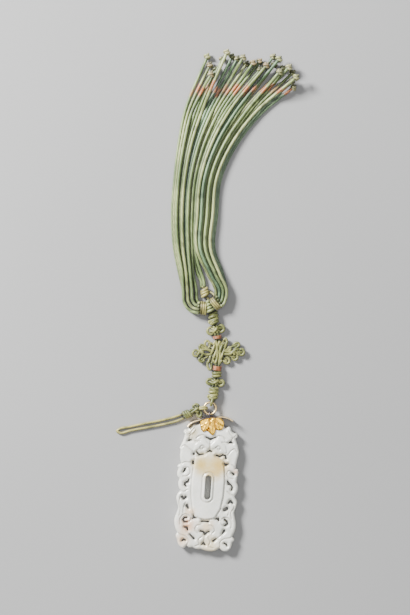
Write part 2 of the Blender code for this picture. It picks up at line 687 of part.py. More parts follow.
def make_canopy(frame):
    top = neck_top()
    roof = ribbon_outline(smooth([(x, y + top) for x, y in ROOF_ARCH], ROOF_STEP), ROOF_THICKNESS)
    flap = [(x, y + top) for x, y in FLAP_OUTLINE]
    front = seat_height() + CLEARANCE
    things = [
        plate_curve(roof, 0.0, front + GILT_THICKNESS + CLEARANCE),
        plate_curve(flap, front, front + GILT_THICKNESS),
        plate_curve(flap, 0.0, GILT_THICKNESS),
        tube_curve(staple_route(), STAPLE_WIRE / 2),
    ]
    link(fused(things), "gilt_canopy", frame)


def make_ring(frame):
    bpy.ops.mesh.primitive_torus_add(
        major_radius=ring_radius() * MM,
        minor_radius=RING_WIRE / 2 * MM,
        major_segments=16,
        minor_segments=8,
    )
    ring = bpy.context.active_object
    for group in list(ring.users_collection):
        group.objects.unlink(ring)
    ring.data.shade_smooth()
    link(ring, "suspension_ring", frame)
    x, y = ring_centre()
    ring.location = (x * MM, y * MM, ring_level() * MM)


# Silk knots

def loft(rings):
    """Mesh object with closed ends over rings of as many points each."""
    shape = bmesh.new()
    corners = [[shape.verts.new([value * MM for value in point]) for point in ring] for ring in rings]
    for near, far in zip(corners, corners[1:]):
        for side in range(len(near)):
            after = (side + 1) % len(near)
            shape.faces.new((near[side], near[after], far[after], far[side]))
    shape.faces.new(corners[0])
    shape.faces.new(corners[-1])
    bmesh.ops.recalc_face_normals(shape, faces=shape.faces)
    mesh = bpy.data.meshes.new("loft")
    shape.to_mesh(mesh)
    shape.free()
    return bpy.data.objects.new("loft", mesh)


def oval(middle, across, half_width, half_depth):
    """Upright flattened ring of points that stands on z = 0, across a line on the ground."""
    points = []
    flat = math.sin(2 * math.pi * 1.5 / BARREL_SIDES)
    for side in range(BARREL_SIDES):
        turn = 2 * math.pi * (side + 0.5) / BARREL_SIDES
        x, y = np.asarray(middle, float) + np.asarray(across, float) * half_width * math.cos(turn)
        points.append((x, y, half_depth + half_depth * math.sin(turn) / flat))
    return points


def barrel(middle, angle, length, half_width, half_depth, turns):
    """Short bundle wrapped with a number of turns, lying along a direction, as a ridged drum."""
    groove = 0.86
    pitch = length / turns
    profile = []
    for turn in range(turns):
        profile += [(turn * pitch, groove), ((turn + 0.5) * pitch, 1.0)]
    profile.append((length, groove))
    ahead = np.array([math.cos(angle), math.sin(angle)])
    across = np.array([ahead[1], -ahead[0]])
    rings = []
    for along, swell in profile:
        ring = oval(middle + (along - length / 2) * ahead, across, half_width * swell, half_depth * swell)
        rings.append([(x, y, z + half_depth * (1 - swell)) for x, y, z in ring])
    return loft(rings)


def placed(points, middle, angle):
    """Points of a flat figure, turned to a direction and moved to its middle."""
    points = np.asarray(points, float)
    lean = angle - math.pi / 2
    turned = points.copy()
    turned[:, 0] = points[:, 0] * math.cos(lean) - points[:, 1] * math.sin(lean) + middle[0]
    turned[:, 1] = points[:, 0] * math.sin(lean) + points[:, 1] * math.cos(lean) + middle[1]
    return turned


def cross_knot_route(half_width, half_height):
    """Figure of eight lying across the cord: its two loops are the knot's ears."""
    lift = (CORD_DIAMETER + SILK_GAP) / 2
    reach_x = half_width - CORD_DIAMETER / 2
    reach_y = half_height - CORD_DIAMETER / 2
    route = []
    for t in np.arange(16) / 16 * 2 * math.pi:
        x = reach_x * math.copysign(abs(math.cos(t)) ** 0.8, math.cos(t))
        route.append((x, reach_y * math.sin(2 * t), lift * math.sin(t)))
    return np.array(route) + np.array([0.0, 0.0, CORD_DIAMETER / 2 + lift])


def clover_route(reach, wire):
    """Closed three-leaved knot: each leaf crosses over one neighbour and under the other."""
    lift = 1.1 * wire
    unit = (reach - wire / 2) / 3
    route = []
    for t in np.arange(24) / 24 * 2 * math.pi:
        x = unit * (math.sin(t) + 2 * math.sin(2 * t))
        y = unit * (math.cos(t) - 2 * math.cos(2 * t))
        route.append((x, y, wire / 2 + lift * (1 - math.sin(3 * t))))
    return np.array(route)


def ear(inner, tip, width, level):
    """Open loop of cord from the body out to a tip and back, as a list of points."""
    inner, tip = np.asarray(inner, float), np.asarray(tip, float)
    out = tip - inner
    across = np.array([-out[1], out[0]]) / np.linalg.norm(out) * width / 2
    shares = [(0.0, 0.7), (0.7, 1.0), (1.0, 0.45), (1.0, -0.45), (0.7, -1.0), (0.0, -0.7)]
    return [(*(inner + along * out + side * across), level) for along, side in shares]


def endless_knot_things(middle, angle, body, neck):
    """Woven square body, ears at its corners and a clover of loops on each side."""
    radius = CORD_DIAMETER / 2
    lift = radius + WEB_THICKNESS / 2 - WEB_SINK
    level = radius + lift
    half = body / 2 - radius
    pitch = 2 * half / 3
    slant = 0.45 * half
    web = placed([(-half, -half), (half, -half), (half, half), (-half, half)], middle, angle)
    things = [plate_curve(web, level - WEB_THICKNESS / 2, level + WEB_THICKNESS / 2)]
    for row in range(4):
        offset = -half + row * pitch
        rising = [(offset - slant, -half, level + lift), (offset + slant, half, level + lift)]
        falling = [(-half, offset + slant, level - lift), (half, offset - slant, level - lift)]
        things.append(tube_curve(placed(rising, middle, angle), radius))
        things.append(tube_curve(placed(falling, middle, angle), radius))
    for count, (inner, tip, width) in enumerate(KNOT_EARS):
        loop = ear(np.array(inner) * CORD_DIAMETER, np.array(tip) * CORD_DIAMETER, width * CORD_DIAMETER,
                   level + (count % 5 - 2) * EAR_STAGGER)
        things.append(tube_curve(placed(loop, middle, angle), radius, roundness=1))
    for near, hub in ((-2.3, -5.2), (2.3, 5.8)):
        stem = [(near * CORD_DIAMETER, 0.0, level), (hub * CORD_DIAMETER, -0.4, level)]
        things.append(tube_curve(placed(stem, middle, angle), radius * 1.1))
    for end in (-1, 1):
        stub = [(0.0, end * (half - radius), level), (0.0, end * (body / 2 + neck), level)]
        things.append(tube_curve(placed(stub, middle, angle), radius * 1.25))
    return things


def hitch_route(angle, ends, wire):
    """Cord turned round the ring's wire at an angle, with both ends led to one place outside."""
    out = np.array([math.cos(math.radians(angle)), math.sin(math.radians(angle))])
    wire_point = ring_centre() + ring_radius() * out
    turn = RING_WIRE / 2 + wire / 2 + CLEARANCE
    route = []
    for share in np.linspace(-90.0, 90.0, 7):
        inward = turn * math.cos(math.radians(share))
        up = turn * math.sin(math.radians(share))
        route.append((*(wire_point - inward * out), ring_level() + up))
    low_end = (*ends, max(wire / 2, ring_level() - turn))
    high_end = (*ends, ring_level() + turn * 0.75)
    return [low_end] + route + [high_end]


# Main cord: the knots follow one another from the ring upwards

def stack():
    """Name, kind, length and turns of each piece on the main cord, from the ring upwards."""
    return [
        ("lower_double_knot", "barrel", 4.2 * CORD_DIAMETER, 4),
        ("lower_cross_knot", "cross", 2.8 * CORD_DIAMETER, 0),
        ("band_knot", "barrel", 2.0 * CORD_DIAMETER, 2),
        ("lower_orange_wrap", "wrap", 4.0 * THREAD_DIAMETER, 4),
        ("endless_knot", "endless", 8.2 * CORD_DIAMETER, 0),
        ("upper_orange_wrap", "wrap", 3.0 * THREAD_DIAMETER, 3),
        ("upper_cross_knot", "cross", 3.2 * CORD_DIAMETER, 0),
        ("upper_double_knot", "barrel", 4.2 * CORD_DIAMETER, 4),
    ]


def cord_line():
    origin = ring_centre() + np.array([0.0, RING_OUTER_DIAMETER / 2])
    return smooth(np.array(CORD_LINE) + origin, 0.5)


def place_on_line(at, length):
    """Middle and direction of a piece that takes up a length of the cord's line."""
    start, end = points_at(cord_line(), [at, at + length])
    run = end - start
    return (start + end) / 2, math.atan2(run[1], run[0])


def make_stack(frame):
    at = FIRST_KNOT_AT
    for name, kind, length, turns in stack():
        middle, angle = place_on_line(at, length)
        if kind == "barrel":
            link(barrel(middle, angle, length, DOUBLE_KNOT_HALF_WIDTH, KNOT_HALF_DEPTH, turns), name, frame)
        elif kind == "wrap":
            link(barrel(middle, angle, length, WRAP_HALF_WIDTH, KNOT_HALF_DEPTH, turns), name, frame)
        elif kind == "cross":
            route = placed(cross_knot_route(CROSS_KNOT_HALF_WIDTH, length / 2), middle, angle)
            link(tube_curve(route, CORD_DIAMETER / 2, cyclic=True), name, frame)
        else:
            neck = (length - ENDLESS_BODY) / 2
            link(fused(endless_knot_things(middle, angle, ENDLESS_BODY, neck)), name, frame)
        at += length + CLEARANCE
    return at


def stack_end():
    """The point where the main cord's last knot ends."""
    at = FIRST_KNOT_AT
    for _, _, length, _ in stack():
        at += length + CLEARANCE
    return points_at(cord_line(), [at])[0]


def make_ring_bight(frame):
    first = points_at(cord_line(), [FIRST_KNOT_AT - CLEARANCE])[0]
    toward = first - ring_centre()
    angle = math.degrees(math.atan2(toward[1], toward[0]))
    link(tube_curve(hitch_route(angle, first, CORD_DIAMETER), CORD_DIAMETER / 2), "ring_bight", frame)


# Side loop

def make_side_loop(frame):
    centre = ring_centre()
    wire = LOOP_CORD_DIAMETER
    clover = centre + CLOVER_KNOT
    out = np.array([math.cos(math.radians(HITCH_ANGLE)), math.sin(math.radians(HITCH_ANGLE))])
    end = centre + (ring_radius() + RING_WIRE / 2 + HITCH_END) * out
    route = placed(clover_route(CLOVER_REACH, CLOVER_WIRE), clover, math.radians(CLOVER_LEAN))
    link(tube_curve(hitch_route(HITCH_ANGLE, end, wire), wire / 2), "side_hitch", frame)
    link(tube_curve(route, CLOVER_WIRE / 2, cyclic=True), "side_clover_knot", frame)
    lead = math.radians(SLEEVE_LEAN)
    sleeve = barrel(centre + SLEEVE_KNOT, lead, SLEEVE_LENGTH, SLEEVE_HALF_WIDTH, SLEEVE_HALF_DEPTH,
                    SLEEVE_TURNS)
    link(sleeve, "side_sleeve_knot", frame)
    line = smooth(np.array(SIDE_LOOP) + centre, LOOP_STEP)
    route = [(x, y, wire / 2) for x, y in line]
    link(tube_curve(route, wire / 2), "side_loop_cord", frame)


# Tassel

def strand_pitch():
    return STRAND_DIAMETER + SILK_GAP


def bundle_width():
    return SLOTS * strand_pitch()


def collar_exit(centre, lean, slot):
    """Where a strand leaves a collar wrap: slots are counted from the outer side."""
    out = np.array([math.cos(lean), math.sin(lean)])
    across = np.array([out[1], -out[0]]) if out[0] > 0 else np.array([-out[1], out[0]])
    offset = ((SLOTS - 1) / 2 - slot) * strand_pitch()
    return centre + out * (COLLAR_LENGTH / 2 + 2 * CLEARANCE) + across * offset, out


def bent(start, lean, gate):
    """Points of an even bend from a start and direction round to a gate, then straight up."""
    run = (gate[0] - start[0]) / lean[0]
    corner = start + lean * run
    return [(1 - t) ** 2 * start + 2 * t * (1 - t) * corner + t**2 * gate for t in (0.0, 0.3, 0.6, 1.0)]


def share_of(line, share):
    low, high = np.asarray(line, float)
    return low + share * (high - low)


def strand_route(index):
    """Flat route of one tassel strand, from its collar or the tail knot to its end."""
    end = stack_end()
    side_count = (STRANDS - TAIL_STRANDS) // 2
    if index < side_count:
        rank = index
        slot = rank // BUNDLE_LAYERS
        gate = share_of(LEFT_GATE, slot / (SLOTS - 1)) + end
        start, lean = collar_exit(end + LEFT_COLLAR, math.pi, slot)
        bank = share_of(LEFT_BANK, (rank + 0.5) / side_count) + end
        route = bent(start, lean, gate) + [bank]
    elif index < side_count + TAIL_STRANDS:
        twin = index - side_count
        start = end + TAIL_KNOT + np.array(TWIN_START) + twin * np.array(TWIN_SPACING)
        route = [start, start + TWIN_RISE, end + TWIN_BANK[twin]]
    else:
        rank = STRANDS - 1 - index
        slot = rank // BUNDLE_LAYERS
        gate = share_of(RIGHT_GATE[::-1], slot / (SLOTS - 1)) + end
        start, lean = collar_exit(end + RIGHT_COLLAR, math.radians(RIGHT_COLLAR_ANGLE), slot)
        bank = share_of(RIGHT_BANK[::-1], (rank + 0.5) / side_count) + end
        route = bent(start, lean, gate) + [bank]
    route += [share_of(line, (index + 0.5) / STRANDS) + end for line in STATIONS]
    return route + [np.array(STRAND_ENDS[index]) + end]


def laying_order():
    """Strands from the lowest layer to the highest."""
    side_count = (STRANDS - TAIL_STRANDS) // 2
    ranks = [min(index, STRANDS - 1 - index) for index in range(STRANDS)]
    layer = [(1 if rank >= side_count else rank % BUNDLE_LAYERS) for rank in ranks]
    return sorted(range(STRANDS), key=lambda index: (layer[index], (index * 7) % STRANDS))


def strand_radius(places, length):
    """Half thickness along a strand, with the knot near its end."""
    knot = length - np.array(END_KNOT_SPANS)
    thick = [STRAND_DIAMETER / 2, END_KNOT_DIAMETER / 2, END_KNOT_DIAMETER / 2, STRAND_DIAMETER / 2]
    return np.interp(places, knot, thick)


def knot_places(length, step):
    """Lengths along a strand where its cord has a point: closer on the bend and at the knot."""
    knot = length - np.array(END_KNOT_SPANS)
    near = np.linspace(0.0, STRAND_BEND, int(round(STRAND_BEND / (step * 0.3))) + 1)
    far = np.linspace(STRAND_BEND, knot[0], int(round((knot[0] - STRAND_BEND) / step)) + 1)
    return np.concatenate([near, far[1:], knot[1:]])


def laid_strands(step):
    """Routes of all strands with their heights: each rests on those laid before it."""
    laid = []
    routes = {}
    for index in laying_order():
        line = smooth(strand_route(index), 0.5)
        length = lengths_along(line)[-1]
        places = knot_places(length, step)
        flat = points_at(line, places)
        along = lengths_along(flat)
        fine = np.linspace(0.0, along[-1], int(along[-1] / LAYING_STEP) + 1)
        fine_flat = points_at(flat, fine)
        fine_radius = strand_radius(fine * length / along[-1], length)
        needed = fine_radius.copy()
        for other_flat, other_height, other_radius in laid:
            gap = np.linalg.norm(fine_flat[:, None] - other_flat[None], axis=2)
            apart = fine_radius[:, None] + other_radius[None] + SILK_GAP
            lift = other_height[None] + np.sqrt(np.maximum(apart**2 - gap**2, 0.0))
            needed = np.maximum(needed, np.where(gap < apart, lift, 0.0).max(axis=1))
        heights = []
        for k in range(len(along)):
            low, high = along[max(k - 1, 0)], along[min(k + 1, len(along) - 1)]
            window = (fine >= low - 0.4) & (fine <= high + 0.4)
            heights.append(needed[window].max())
        laid.append((fine_flat, np.interp(fine, along, heights), fine_radius))
        routes[index] = (np.column_stack([flat, heights]), strand_radius(places, length))
    return routes


def make_tassel(frame):
    end = stack_end()
    half_width = bundle_width() / 2
    half_depth = BUNDLE_LAYERS / 2 * strand_pitch()
    left = end + LEFT_COLLAR
    right = end + RIGHT_COLLAR
    lean = math.radians(RIGHT_COLLAR_ANGLE)
    link(barrel(left, math.pi, COLLAR_LENGTH, half_width, half_depth, COLLAR_TURNS), "tassel_collar_left",
         frame)
    link(barrel(right, lean, COLLAR_LENGTH, half_width, half_depth, COLLAR_TURNS), "tassel_collar_right",
         frame)
    up = np.array([-math.sin(lean), math.cos(lean)])
    near = left + np.array([COLLAR_LENGTH / 2 + CLEARANCE, SKEIN_RISE])
    out = np.array([math.cos(lean), math.sin(lean)])
    far = right - (COLLAR_LENGTH / 2 + CLEARANCE) * out + SKEIN_RISE * up
    slim, low = half_width * SKEIN_SLIMNESS, half_depth * SKEIN_LOWNESS
    bridge = loft([oval(near, (0.0, 1.0), slim, low), oval(far, up, slim, low)])
    link(bridge, "tassel_skein", frame)
    knot = barrel(end + TAIL_KNOT, math.radians(TAIL_KNOT_LEAN), TAIL_KNOT_LENGTH, TAIL_KNOT_HALF_WIDTH,
                  TAIL_KNOT_HALF_DEPTH, TAIL_KNOT_TURNS)
    link(knot, "tail_knot", frame)
    route = smooth([np.array([*(end + TAIL_KNOT), 0.0]) + point for point in TAIL_ARC], TAIL_ARC_WIRE)
    link(tube_curve(route, TAIL_ARC_WIRE / 2), "tail_arc", frame)
    for index, (route, radii) in sorted(laid_strands(STRAND_STEP).items()):
        strand = tube_curve(route, STRAND_DIAMETER / 2, radii, roundness=1)
        link(strand, f"tassel_strand_{index + 1:02d}", frame)


# The whole pendant

def make_frame():
    """Empty that puts the hard pieces' box about the origin, standing on z = 0."""
    outline = jade_outline() * jade_scale()
    ring_top = ring_centre()[1] + RING_OUTER_DIAMETER / 2
    frame = bpy.data.objects.new("pendant_frame", None)
    frame.location.x = -(outline[:, 0].min() + outline[:, 0].max()) / 2 * MM
    frame.location.y = -(outline[:, 1].min() + ring_top) / 2 * MM
    bpy.context.scene.collection.objects.link(frame)
    return frame


def main():
    frame = make_frame()
    make_jade(frame)
    make_canopy(frame)
    make_ring(frame)
    make_ring_bight(frame)
    make_stack(frame)
    make_side_loop(frame)
    make_tassel(frame)


clear_scene()
PARTS = new_collection("jade_plaque_pendant")
CUTTERS = new_collection("cutters")
main()
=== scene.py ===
"""Looks of the jade plaque pendant: carved jade, gilt mount, knotted silk cord, side loop and tassel.

Lengths are written in millimetres about the plaque's own centre, with +Y up the pendant towards the
tassel and +Z out of its face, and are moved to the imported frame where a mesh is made.
"""

import math

import bpy
import numpy as np
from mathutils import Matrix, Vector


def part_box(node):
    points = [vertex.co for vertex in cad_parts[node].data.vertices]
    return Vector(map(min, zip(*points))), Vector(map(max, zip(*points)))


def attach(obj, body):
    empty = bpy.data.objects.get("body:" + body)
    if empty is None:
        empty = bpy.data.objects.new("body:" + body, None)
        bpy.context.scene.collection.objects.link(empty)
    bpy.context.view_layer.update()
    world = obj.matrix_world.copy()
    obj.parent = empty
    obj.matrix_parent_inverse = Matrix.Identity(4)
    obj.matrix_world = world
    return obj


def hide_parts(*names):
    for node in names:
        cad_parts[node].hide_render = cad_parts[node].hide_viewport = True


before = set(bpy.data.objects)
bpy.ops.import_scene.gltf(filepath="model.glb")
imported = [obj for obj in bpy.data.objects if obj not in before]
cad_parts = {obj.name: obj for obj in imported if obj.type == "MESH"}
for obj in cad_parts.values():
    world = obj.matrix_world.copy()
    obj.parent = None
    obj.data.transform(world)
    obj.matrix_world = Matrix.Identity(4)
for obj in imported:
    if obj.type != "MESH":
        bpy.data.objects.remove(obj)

MM = 0.001

# View of the photograph: its frame in pixels, the plaque's centre there, the scale and the plaque's lean
PHOTO_SIZE = (410, 615)
PLAQUE_IN_PHOTO = (207.9, 487.9)
PIXEL = 0.55
PLAQUE_LEAN = math.radians(4.0)
CAMERA_HEIGHT = 1200.0
SENSOR = 24.0

# Stage in metres: the floor, and the lights as (name, place, size, energy) with the place they face
FLOOR_REACH = 4.0
FLOOR_LEVEL = -0.0002
LIGHTS = [
    ("key", (-0.75, 0.6, 0.62), 0.32, 47.0),
    ("fill", (0.75, -0.15, 0.8), 0.8, 2.6),
    ("top", (0.05, 0.1, 1.7), 1.2, 11.5),
]
LIT_PLACE = np.array([0.0, 0.09, 0.0])
SKY_COLOUR = (0.95, 0.97, 1.0, 1.0)
SKY_STRENGTH = 0.2

# Jade plaque
JADE_THICKNESS = 5.6
NECK_TOP = 37.1
EDGE_DROP = 1.3
CROWN_WIDTH = 1.7
BACK_DROP = 0.35
BACK_WIDTH = 0.6
TABLET_RISE = 0.55
TABLET_STEP_WIDTH = 0.9
CLOUD_RISE = 0.5
RIM_RISE = 0.4
RIM_WIDTH = 0.8
GROOVE_DEPTH = 0.4
GROOVE_WIDTH = 0.36
SLOT = [(0.0, 5.35, 1.75), (0.0, -4.65, 1.75)]
JADE_CELL = 0.24

# Gilt mount
GILT_THICKNESS = 0.6
ROOF_THICKNESS = 0.8
CLEARANCE = 0.3
SEAT_LENGTH = 8.6
SEAT_LEFT = -7.4
SEAT_RIGHT = 6.9
STAPLE_X = -1.9
STAPLE_WIRE = 0.9
ROOF_AT_STAPLE = 1.75
STAPLE_STANDOFF = 0.7
RING_OUTER_DIAMETER = 7.7
RING_WIRE = 1.2
GILT_CELL = 0.11

# Silk
CORD_DIAMETER = 1.7
LOOP_CORD_DIAMETER = 1.4
THREAD_DIAMETER = 0.75
STRAND_DIAMETER = 1.6
END_KNOT_DIAMETER = 3.5
END_KNOT_SPANS = (4.4, 3.4, 1.2, 0.0)
END_KNOT_REACH = 2.3
SILK_GAP = 0.35
PLY_LAY = 2.1
PLY_DEPTH = 0.04
PLIES = 3
# Painted shade in the crevices between cords: its grid cell, reach, start and depth, and its strength on the
# strands
CREVICE_CELL = 0.4
CREVICE_REACH = 3
CREVICE_START = 0.1
CREVICE_DEPTH = 0.9
STRAND_CREVICE_SHADE = 0.6
KNOT_HALF_DEPTH = 1.3 * CORD_DIAMETER
CORE_RADIUS = 0.8
LOOP_DIP = 0.35
TURN_STEPS = 32
LOOP_STEPS = 30
RING_STEPS = 96
END_KNOT_STEPS = 54

# Lobes of the plaque's outline: each starts where the one before it ends
OUTLINE_LOBES = [
    [(2.5, 37.0), (-1.0, 37.1), (-4.0, 36.9), (-6.6, 36.2)],
    [(-7.1, 35.0), (-8.4, 34.4), (-9.9, 34.5), (-11.9, 33.0), (-13.4, 31.4)],
    [(-14.6, 31.5), (-15.5, 29.9), (-14.7, 28.5)],
    [(-15.0, 27.0), (-15.5, 24.9), (-16.4, 22.6), (-17.0, 21.0)],
    [(-16.5, 19.6), (-16.6, 17.5), (-16.4, 15.0), (-15.6, 12.5)],
    [(-16.7, 12.0), (-17.6, 10.8), (-16.9, 9.7)],
    [(-17.5, 7.3), (-17.2, 5.5), (-16.0, 4.0)],
    [(-16.5, 2.0), (-16.3, 0.1), (-15.6, -1.6), (-14.9, -2.4)],
    [(-16.3, -4.0), (-17.0, -6.4), (-16.3, -9.2), (-15.6, -11.8), (-16.2, -14.5), (-17.1, -17.6),
     (-17.1, -20.6), (-16.2, -23.6), (-15.2, -25.5)],
    [(-15.9, -27.4), (-14.9, -29.5)],
    [(-14.3, -31.6), (-12.9, -33.4), (-11.2, -34.0), (-9.4, -32.5)],
    [(-7.7, -33.4), (-6.1, -33.2)],
    [(-4.0, -34.0), (-1.5, -33.8)],
    [(0.8, -34.4), (3.3, -34.7), (6.0, -34.3), (8.7, -32.6)],
    [(10.3, -33.9), (12.6, -34.1), (14.6, -32.4), (15.5, -29.0)],
    [(16.5, -27.6), (15.2, -25.7)],
    [(16.4, -22.8), (16.8, -19.3), (16.1, -15.6), (15.4, -12.1), (16.2, -9.2), (16.6, -6.7), (15.0, -3.7)],
    [(16.3, -0.9), (16.5, 1.9), (15.6, 4.3)],
    [(15.8, 6.8), (16.2, 9.8), (15.7, 11.3), (14.4, 11.6)],
    [(14.9, 15.8), (15.6, 19.9), (15.0, 23.6), (13.3, 27.8)],
    [(14.4, 29.3), (13.8, 30.9), (12.3, 31.1)],
    [(10.8, 32.2), (10.2, 33.8), (9.0, 34.4), (7.7, 33.5), (6.4, 34.4), (5.6, 36.3)],
]

# Pierced holes, as strokes of (x, y, half width)
HOLES = [
    [(-2.7, 27.7, 0.35), (-0.4, 26.8, 0.65), (2.4, 28.1, 0.35)],
    [(-12.7, 25.1, 0.3), (-11.9, 25.5, 0.6), (-10.8, 25.7, 0.3)],
    [(-9.0, 18.4, 0.6), (-9.0, 18.0, 0.6)],
    [(-7.6, 19.3, 0.35), (-5.9, 17.9, 0.55), (-3.8, 18.4, 0.35)],
    [(-9.2, 14.0, 0.6), (-9.1, 12.9, 0.6)],
    [(-13.3, 9.5, 0.6), (-13.6, 8.6, 0.55), (-14.2, 7.8, 0.35)],
    [(-10.7, 4.1, 0.4), (-11.3, 2.7, 0.7), (-12.7, 2.0, 0.6), (-12.8, 0.9, 0.55), (-12.0, 0.1, 0.4)],
    [(-13.8, -5.8, 0.7), (-12.8, -6.7, 0.8), (-11.8, -5.8, 0.7)],
    [(-10.8, -10.5, 0.85), (-10.0, -11.8, 0.5)],
    [(-7.0, -15.4, 0.3), (-6.6, -16.7, 0.65), (-5.2, -16.9, 0.3)],
    [(-6.6, -16.7, 0.65), (-7.3, -17.4, 0.3)],
    [(-10.4, -16.9, 0.45), (-11.8, -17.2, 0.5), (-12.4, -18.3, 0.5), (-11.5, -19.5, 0.5),
     (-10.0, -19.4, 0.4)],
    [(-11.4, -22.2, 0.35), (-10.0, -22.6, 0.7), (-9.4, -23.9, 0.35)],
    [(-8.0, -26.2, 0.3), (-5.7, -28.3, 0.6)],
    [(-12.1, -29.8, 0.5), (-11.3, -29.2, 0.55), (-10.3, -29.5, 0.4)],
    [(-1.4, 19.9, 0.35), (-0.4, 20.5, 0.55), (0.8, 20.1, 0.35)],
    [(-2.0, -18.5, 0.5), (-0.3, -18.5, 0.35), (1.5, -18.5, 0.5)],
    [(-2.4, -23.9, 0.5), (-0.9, -24.2, 0.5), (0.2, -25.3, 0.8), (1.2, -24.3, 0.5), (2.4, -23.9, 0.4)],
    [(-1.3, -31.2, 0.35), (-0.3, -30.5, 0.75), (0.7, -31.3, 0.35)],
    [(9.9, 25.5, 0.35), (10.8, 25.9, 0.7), (11.7, 25.6, 0.35)],
    [(3.5, 18.2, 0.4), (5.2, 17.7, 0.55), (7.1, 18.7, 0.45), (8.5, 18.2, 0.45), (8.8, 16.9, 0.55)],
    [(8.1, 13.9, 0.35), (9.1, 13.4, 0.7), (10.2, 13.9, 0.35)],
    [(12.6, 9.2, 0.4), (13.7, 8.4, 0.6)],
    [(10.6, 4.4, 0.4), (11.3, 3.1, 0.75), (12.7, 2.3, 0.4), (13.4, 1.2, 0.45), (13.1, -0.2, 0.5)],
    [(11.9, -7.6, 0.5), (12.8, -6.4, 0.8), (14.1, -7.4, 0.5)],
    [(10.0, -11.4, 0.95), (11.0, -10.7, 1.05)],
    [(5.4, -16.7, 0.3), (6.8, -16.6, 0.7), (7.2, -17.5, 0.4)],
    [(10.5, -16.7, 0.5), (11.7, -17.8, 0.6), (12.0, -19.1, 0.6), (10.9, -19.9, 0.6)],
    [(10.5, -22.9, 0.8), (9.6, -24.5, 0.35)],
    [(5.0, -28.8, 0.65), (6.3, -27.7, 0.4)],
    [(11.1, -29.7, 0.45), (12.2, -30.2, 0.5), (12.7, -31.1, 0.4)],
]

TABLET_OUTLINE = [
    (-0.3, -17.2), (4.6, -16.0), (7.2, -11.0), (8.4, -4.0), (8.6, 4.0), (8.1, 10.0), (7.4, 15.0),
    (5.2, 16.4), (2.8, 17.3), (1.1, 18.8), (-0.4, 19.4), (-1.8, 18.6), (-3.4, 17.2), (-5.8, 16.6),
    (-7.8, 16.4), (-8.0, 12.0), (-8.7, 4.0), (-8.4, -4.0), (-7.2, -11.5), (-5.2, -16.2),
]
CLOUD_SCROLLS = [
    [(-1.6, 22.9, 1.3), (-4.4, 24.6, 2.3), (-7.4, 22.6, 1.6), (-8.6, 20.4, 0.8)],
    [(0.9, 22.9, 1.3), (3.8, 24.8, 2.3), (6.8, 23.0, 1.6), (8.2, 20.8, 0.8)],
    [(-13.4, 29.4, 1.2), (-11.6, 29.6, 1.2), (-10.2, 31.6, 1.3)],
    [(12.9, 29.3, 1.2), (10.8, 29.8, 1.2), (9.2, 31.6, 1.3)],
]

# Incised lines of the carving, which follow the bodies between the holes
GROOVES = [
    [(-14.2, 30.0), (-12.5, 28.8), (-11.0, 30.5), (-9.5, 32.6)],
    [(-12.1, 26.3), (-11.9, 27.8), (-11.2, 29.3)],
    [(-10.7, 25.7), (-8.5, 25.2), (-6.0, 25.4)],
    [(-16.0, 21.4), (-14.6, 22.6), (-12.6, 21.6), (-9.8, 19.6)],
    [(-15.0, 12.6), (-13.2, 13.5), (-11.0, 13.4), (-9.6, 13.6)],
    [(-13.3, 9.9), (-11.6, 10.6), (-10.2, 8.4), (-11.6, 6.0), (-14.0, 5.6)],
    [(-15.0, -2.3), (-13.0, -2.8), (-11.0, -1.5)],
    [(-14.8, -6.2), (-15.2, -9.0), (-14.4, -12.5), (-14.6, -16.0)],
    [(-11.5, -8.0), (-12.5, -11.0), (-12.6, -14.5)],
    [(-9.9, -19.4), (-8.4, -18.6), (-8.2, -17.0), (-9.6, -15.6), (-12.0, -15.2), (-14.0, -17.6),
     (-13.9, -21.0)],
    [(-9.3, -24.2), (-8.1, -26.1)],
    [(-14.4, -25.8), (-13.0, -26.6), (-10.6, -27.2), (-8.6, -29.6), (-9.3, -31.8)],
    [(13.6, 30.2), (12.3, 28.7), (10.8, 29.8), (9.0, 32.6)],
    [(11.2, 26.8), (11.6, 27.8), (11.9, 28.6)],
    [(9.9, 25.4), (8.2, 25.6), (6.0, 25.6)],
    [(14.6, 21.0), (13.2, 22.4), (11.4, 21.2), (9.6, 18.6)],
    [(13.8, 12.4), (12.6, 13.4), (11.2, 13.6), (10.2, 13.9)],
    [(12.4, 9.4), (11.2, 10.4), (9.9, 8.6), (11.0, 6.4), (13.6, 6.0)],
    [(14.2, -3.2), (12.6, -2.6), (10.8, -1.2)],
    [(15.0, -7.6), (15.0, -10.0), (13.6, -12.6), (14.2, -16.0)],
    [(12.0, -8.6), (12.6, -10.6), (12.0, -14.2)],
    [(10.6, -20.4), (9.0, -19.4), (8.4, -17.6), (9.6, -15.8), (11.8, -15.6), (14.0, -17.8), (14.2, -21.0)],
    [(9.6, -24.7), (8.0, -26.6), (6.6, -27.6)],
    [(14.4, -26.4), (12.8, -26.8), (10.8, -27.4), (8.8, -29.4), (8.9, -31.6)],
    [(-2.7, 27.8), (-4.2, 28.9), (-6.6, 28.4), (-8.2, 26.9)],
    [(2.5, 28.2), (4.2, 29.0), (6.4, 28.6), (7.9, 27.2)],
    [(-0.4, 26.4), (-0.4, 23.6), (-0.4, 21.2)],
    [(-3.2, 22.2), (-4.6, 23.2), (-5.8, 22.2), (-5.0, 21.0), (-4.0, 21.6)],
    [(2.8, 22.4), (4.2, 23.4), (5.4, 22.4), (4.8, 21.2), (3.8, 21.8)],
    [(-2.2, -20.2), (-4.6, -21.0), (-5.4, -23.2), (-3.9, -24.9)],
    [(2.0, -20.2), (4.4, -21.0), (5.4, -23.2), (4.0, -24.9)],
    [(0.2, -26.4), (0.0, -28.2), (-0.2, -29.4)],
    [(-1.6, -27.0), (-3.2, -28.8), (-2.6, -31.0), (-4.6, -32.2)],
    [(2.0, -26.8), (3.4, -29.6), (2.6, -31.8), (5.2, -32.8)],
]

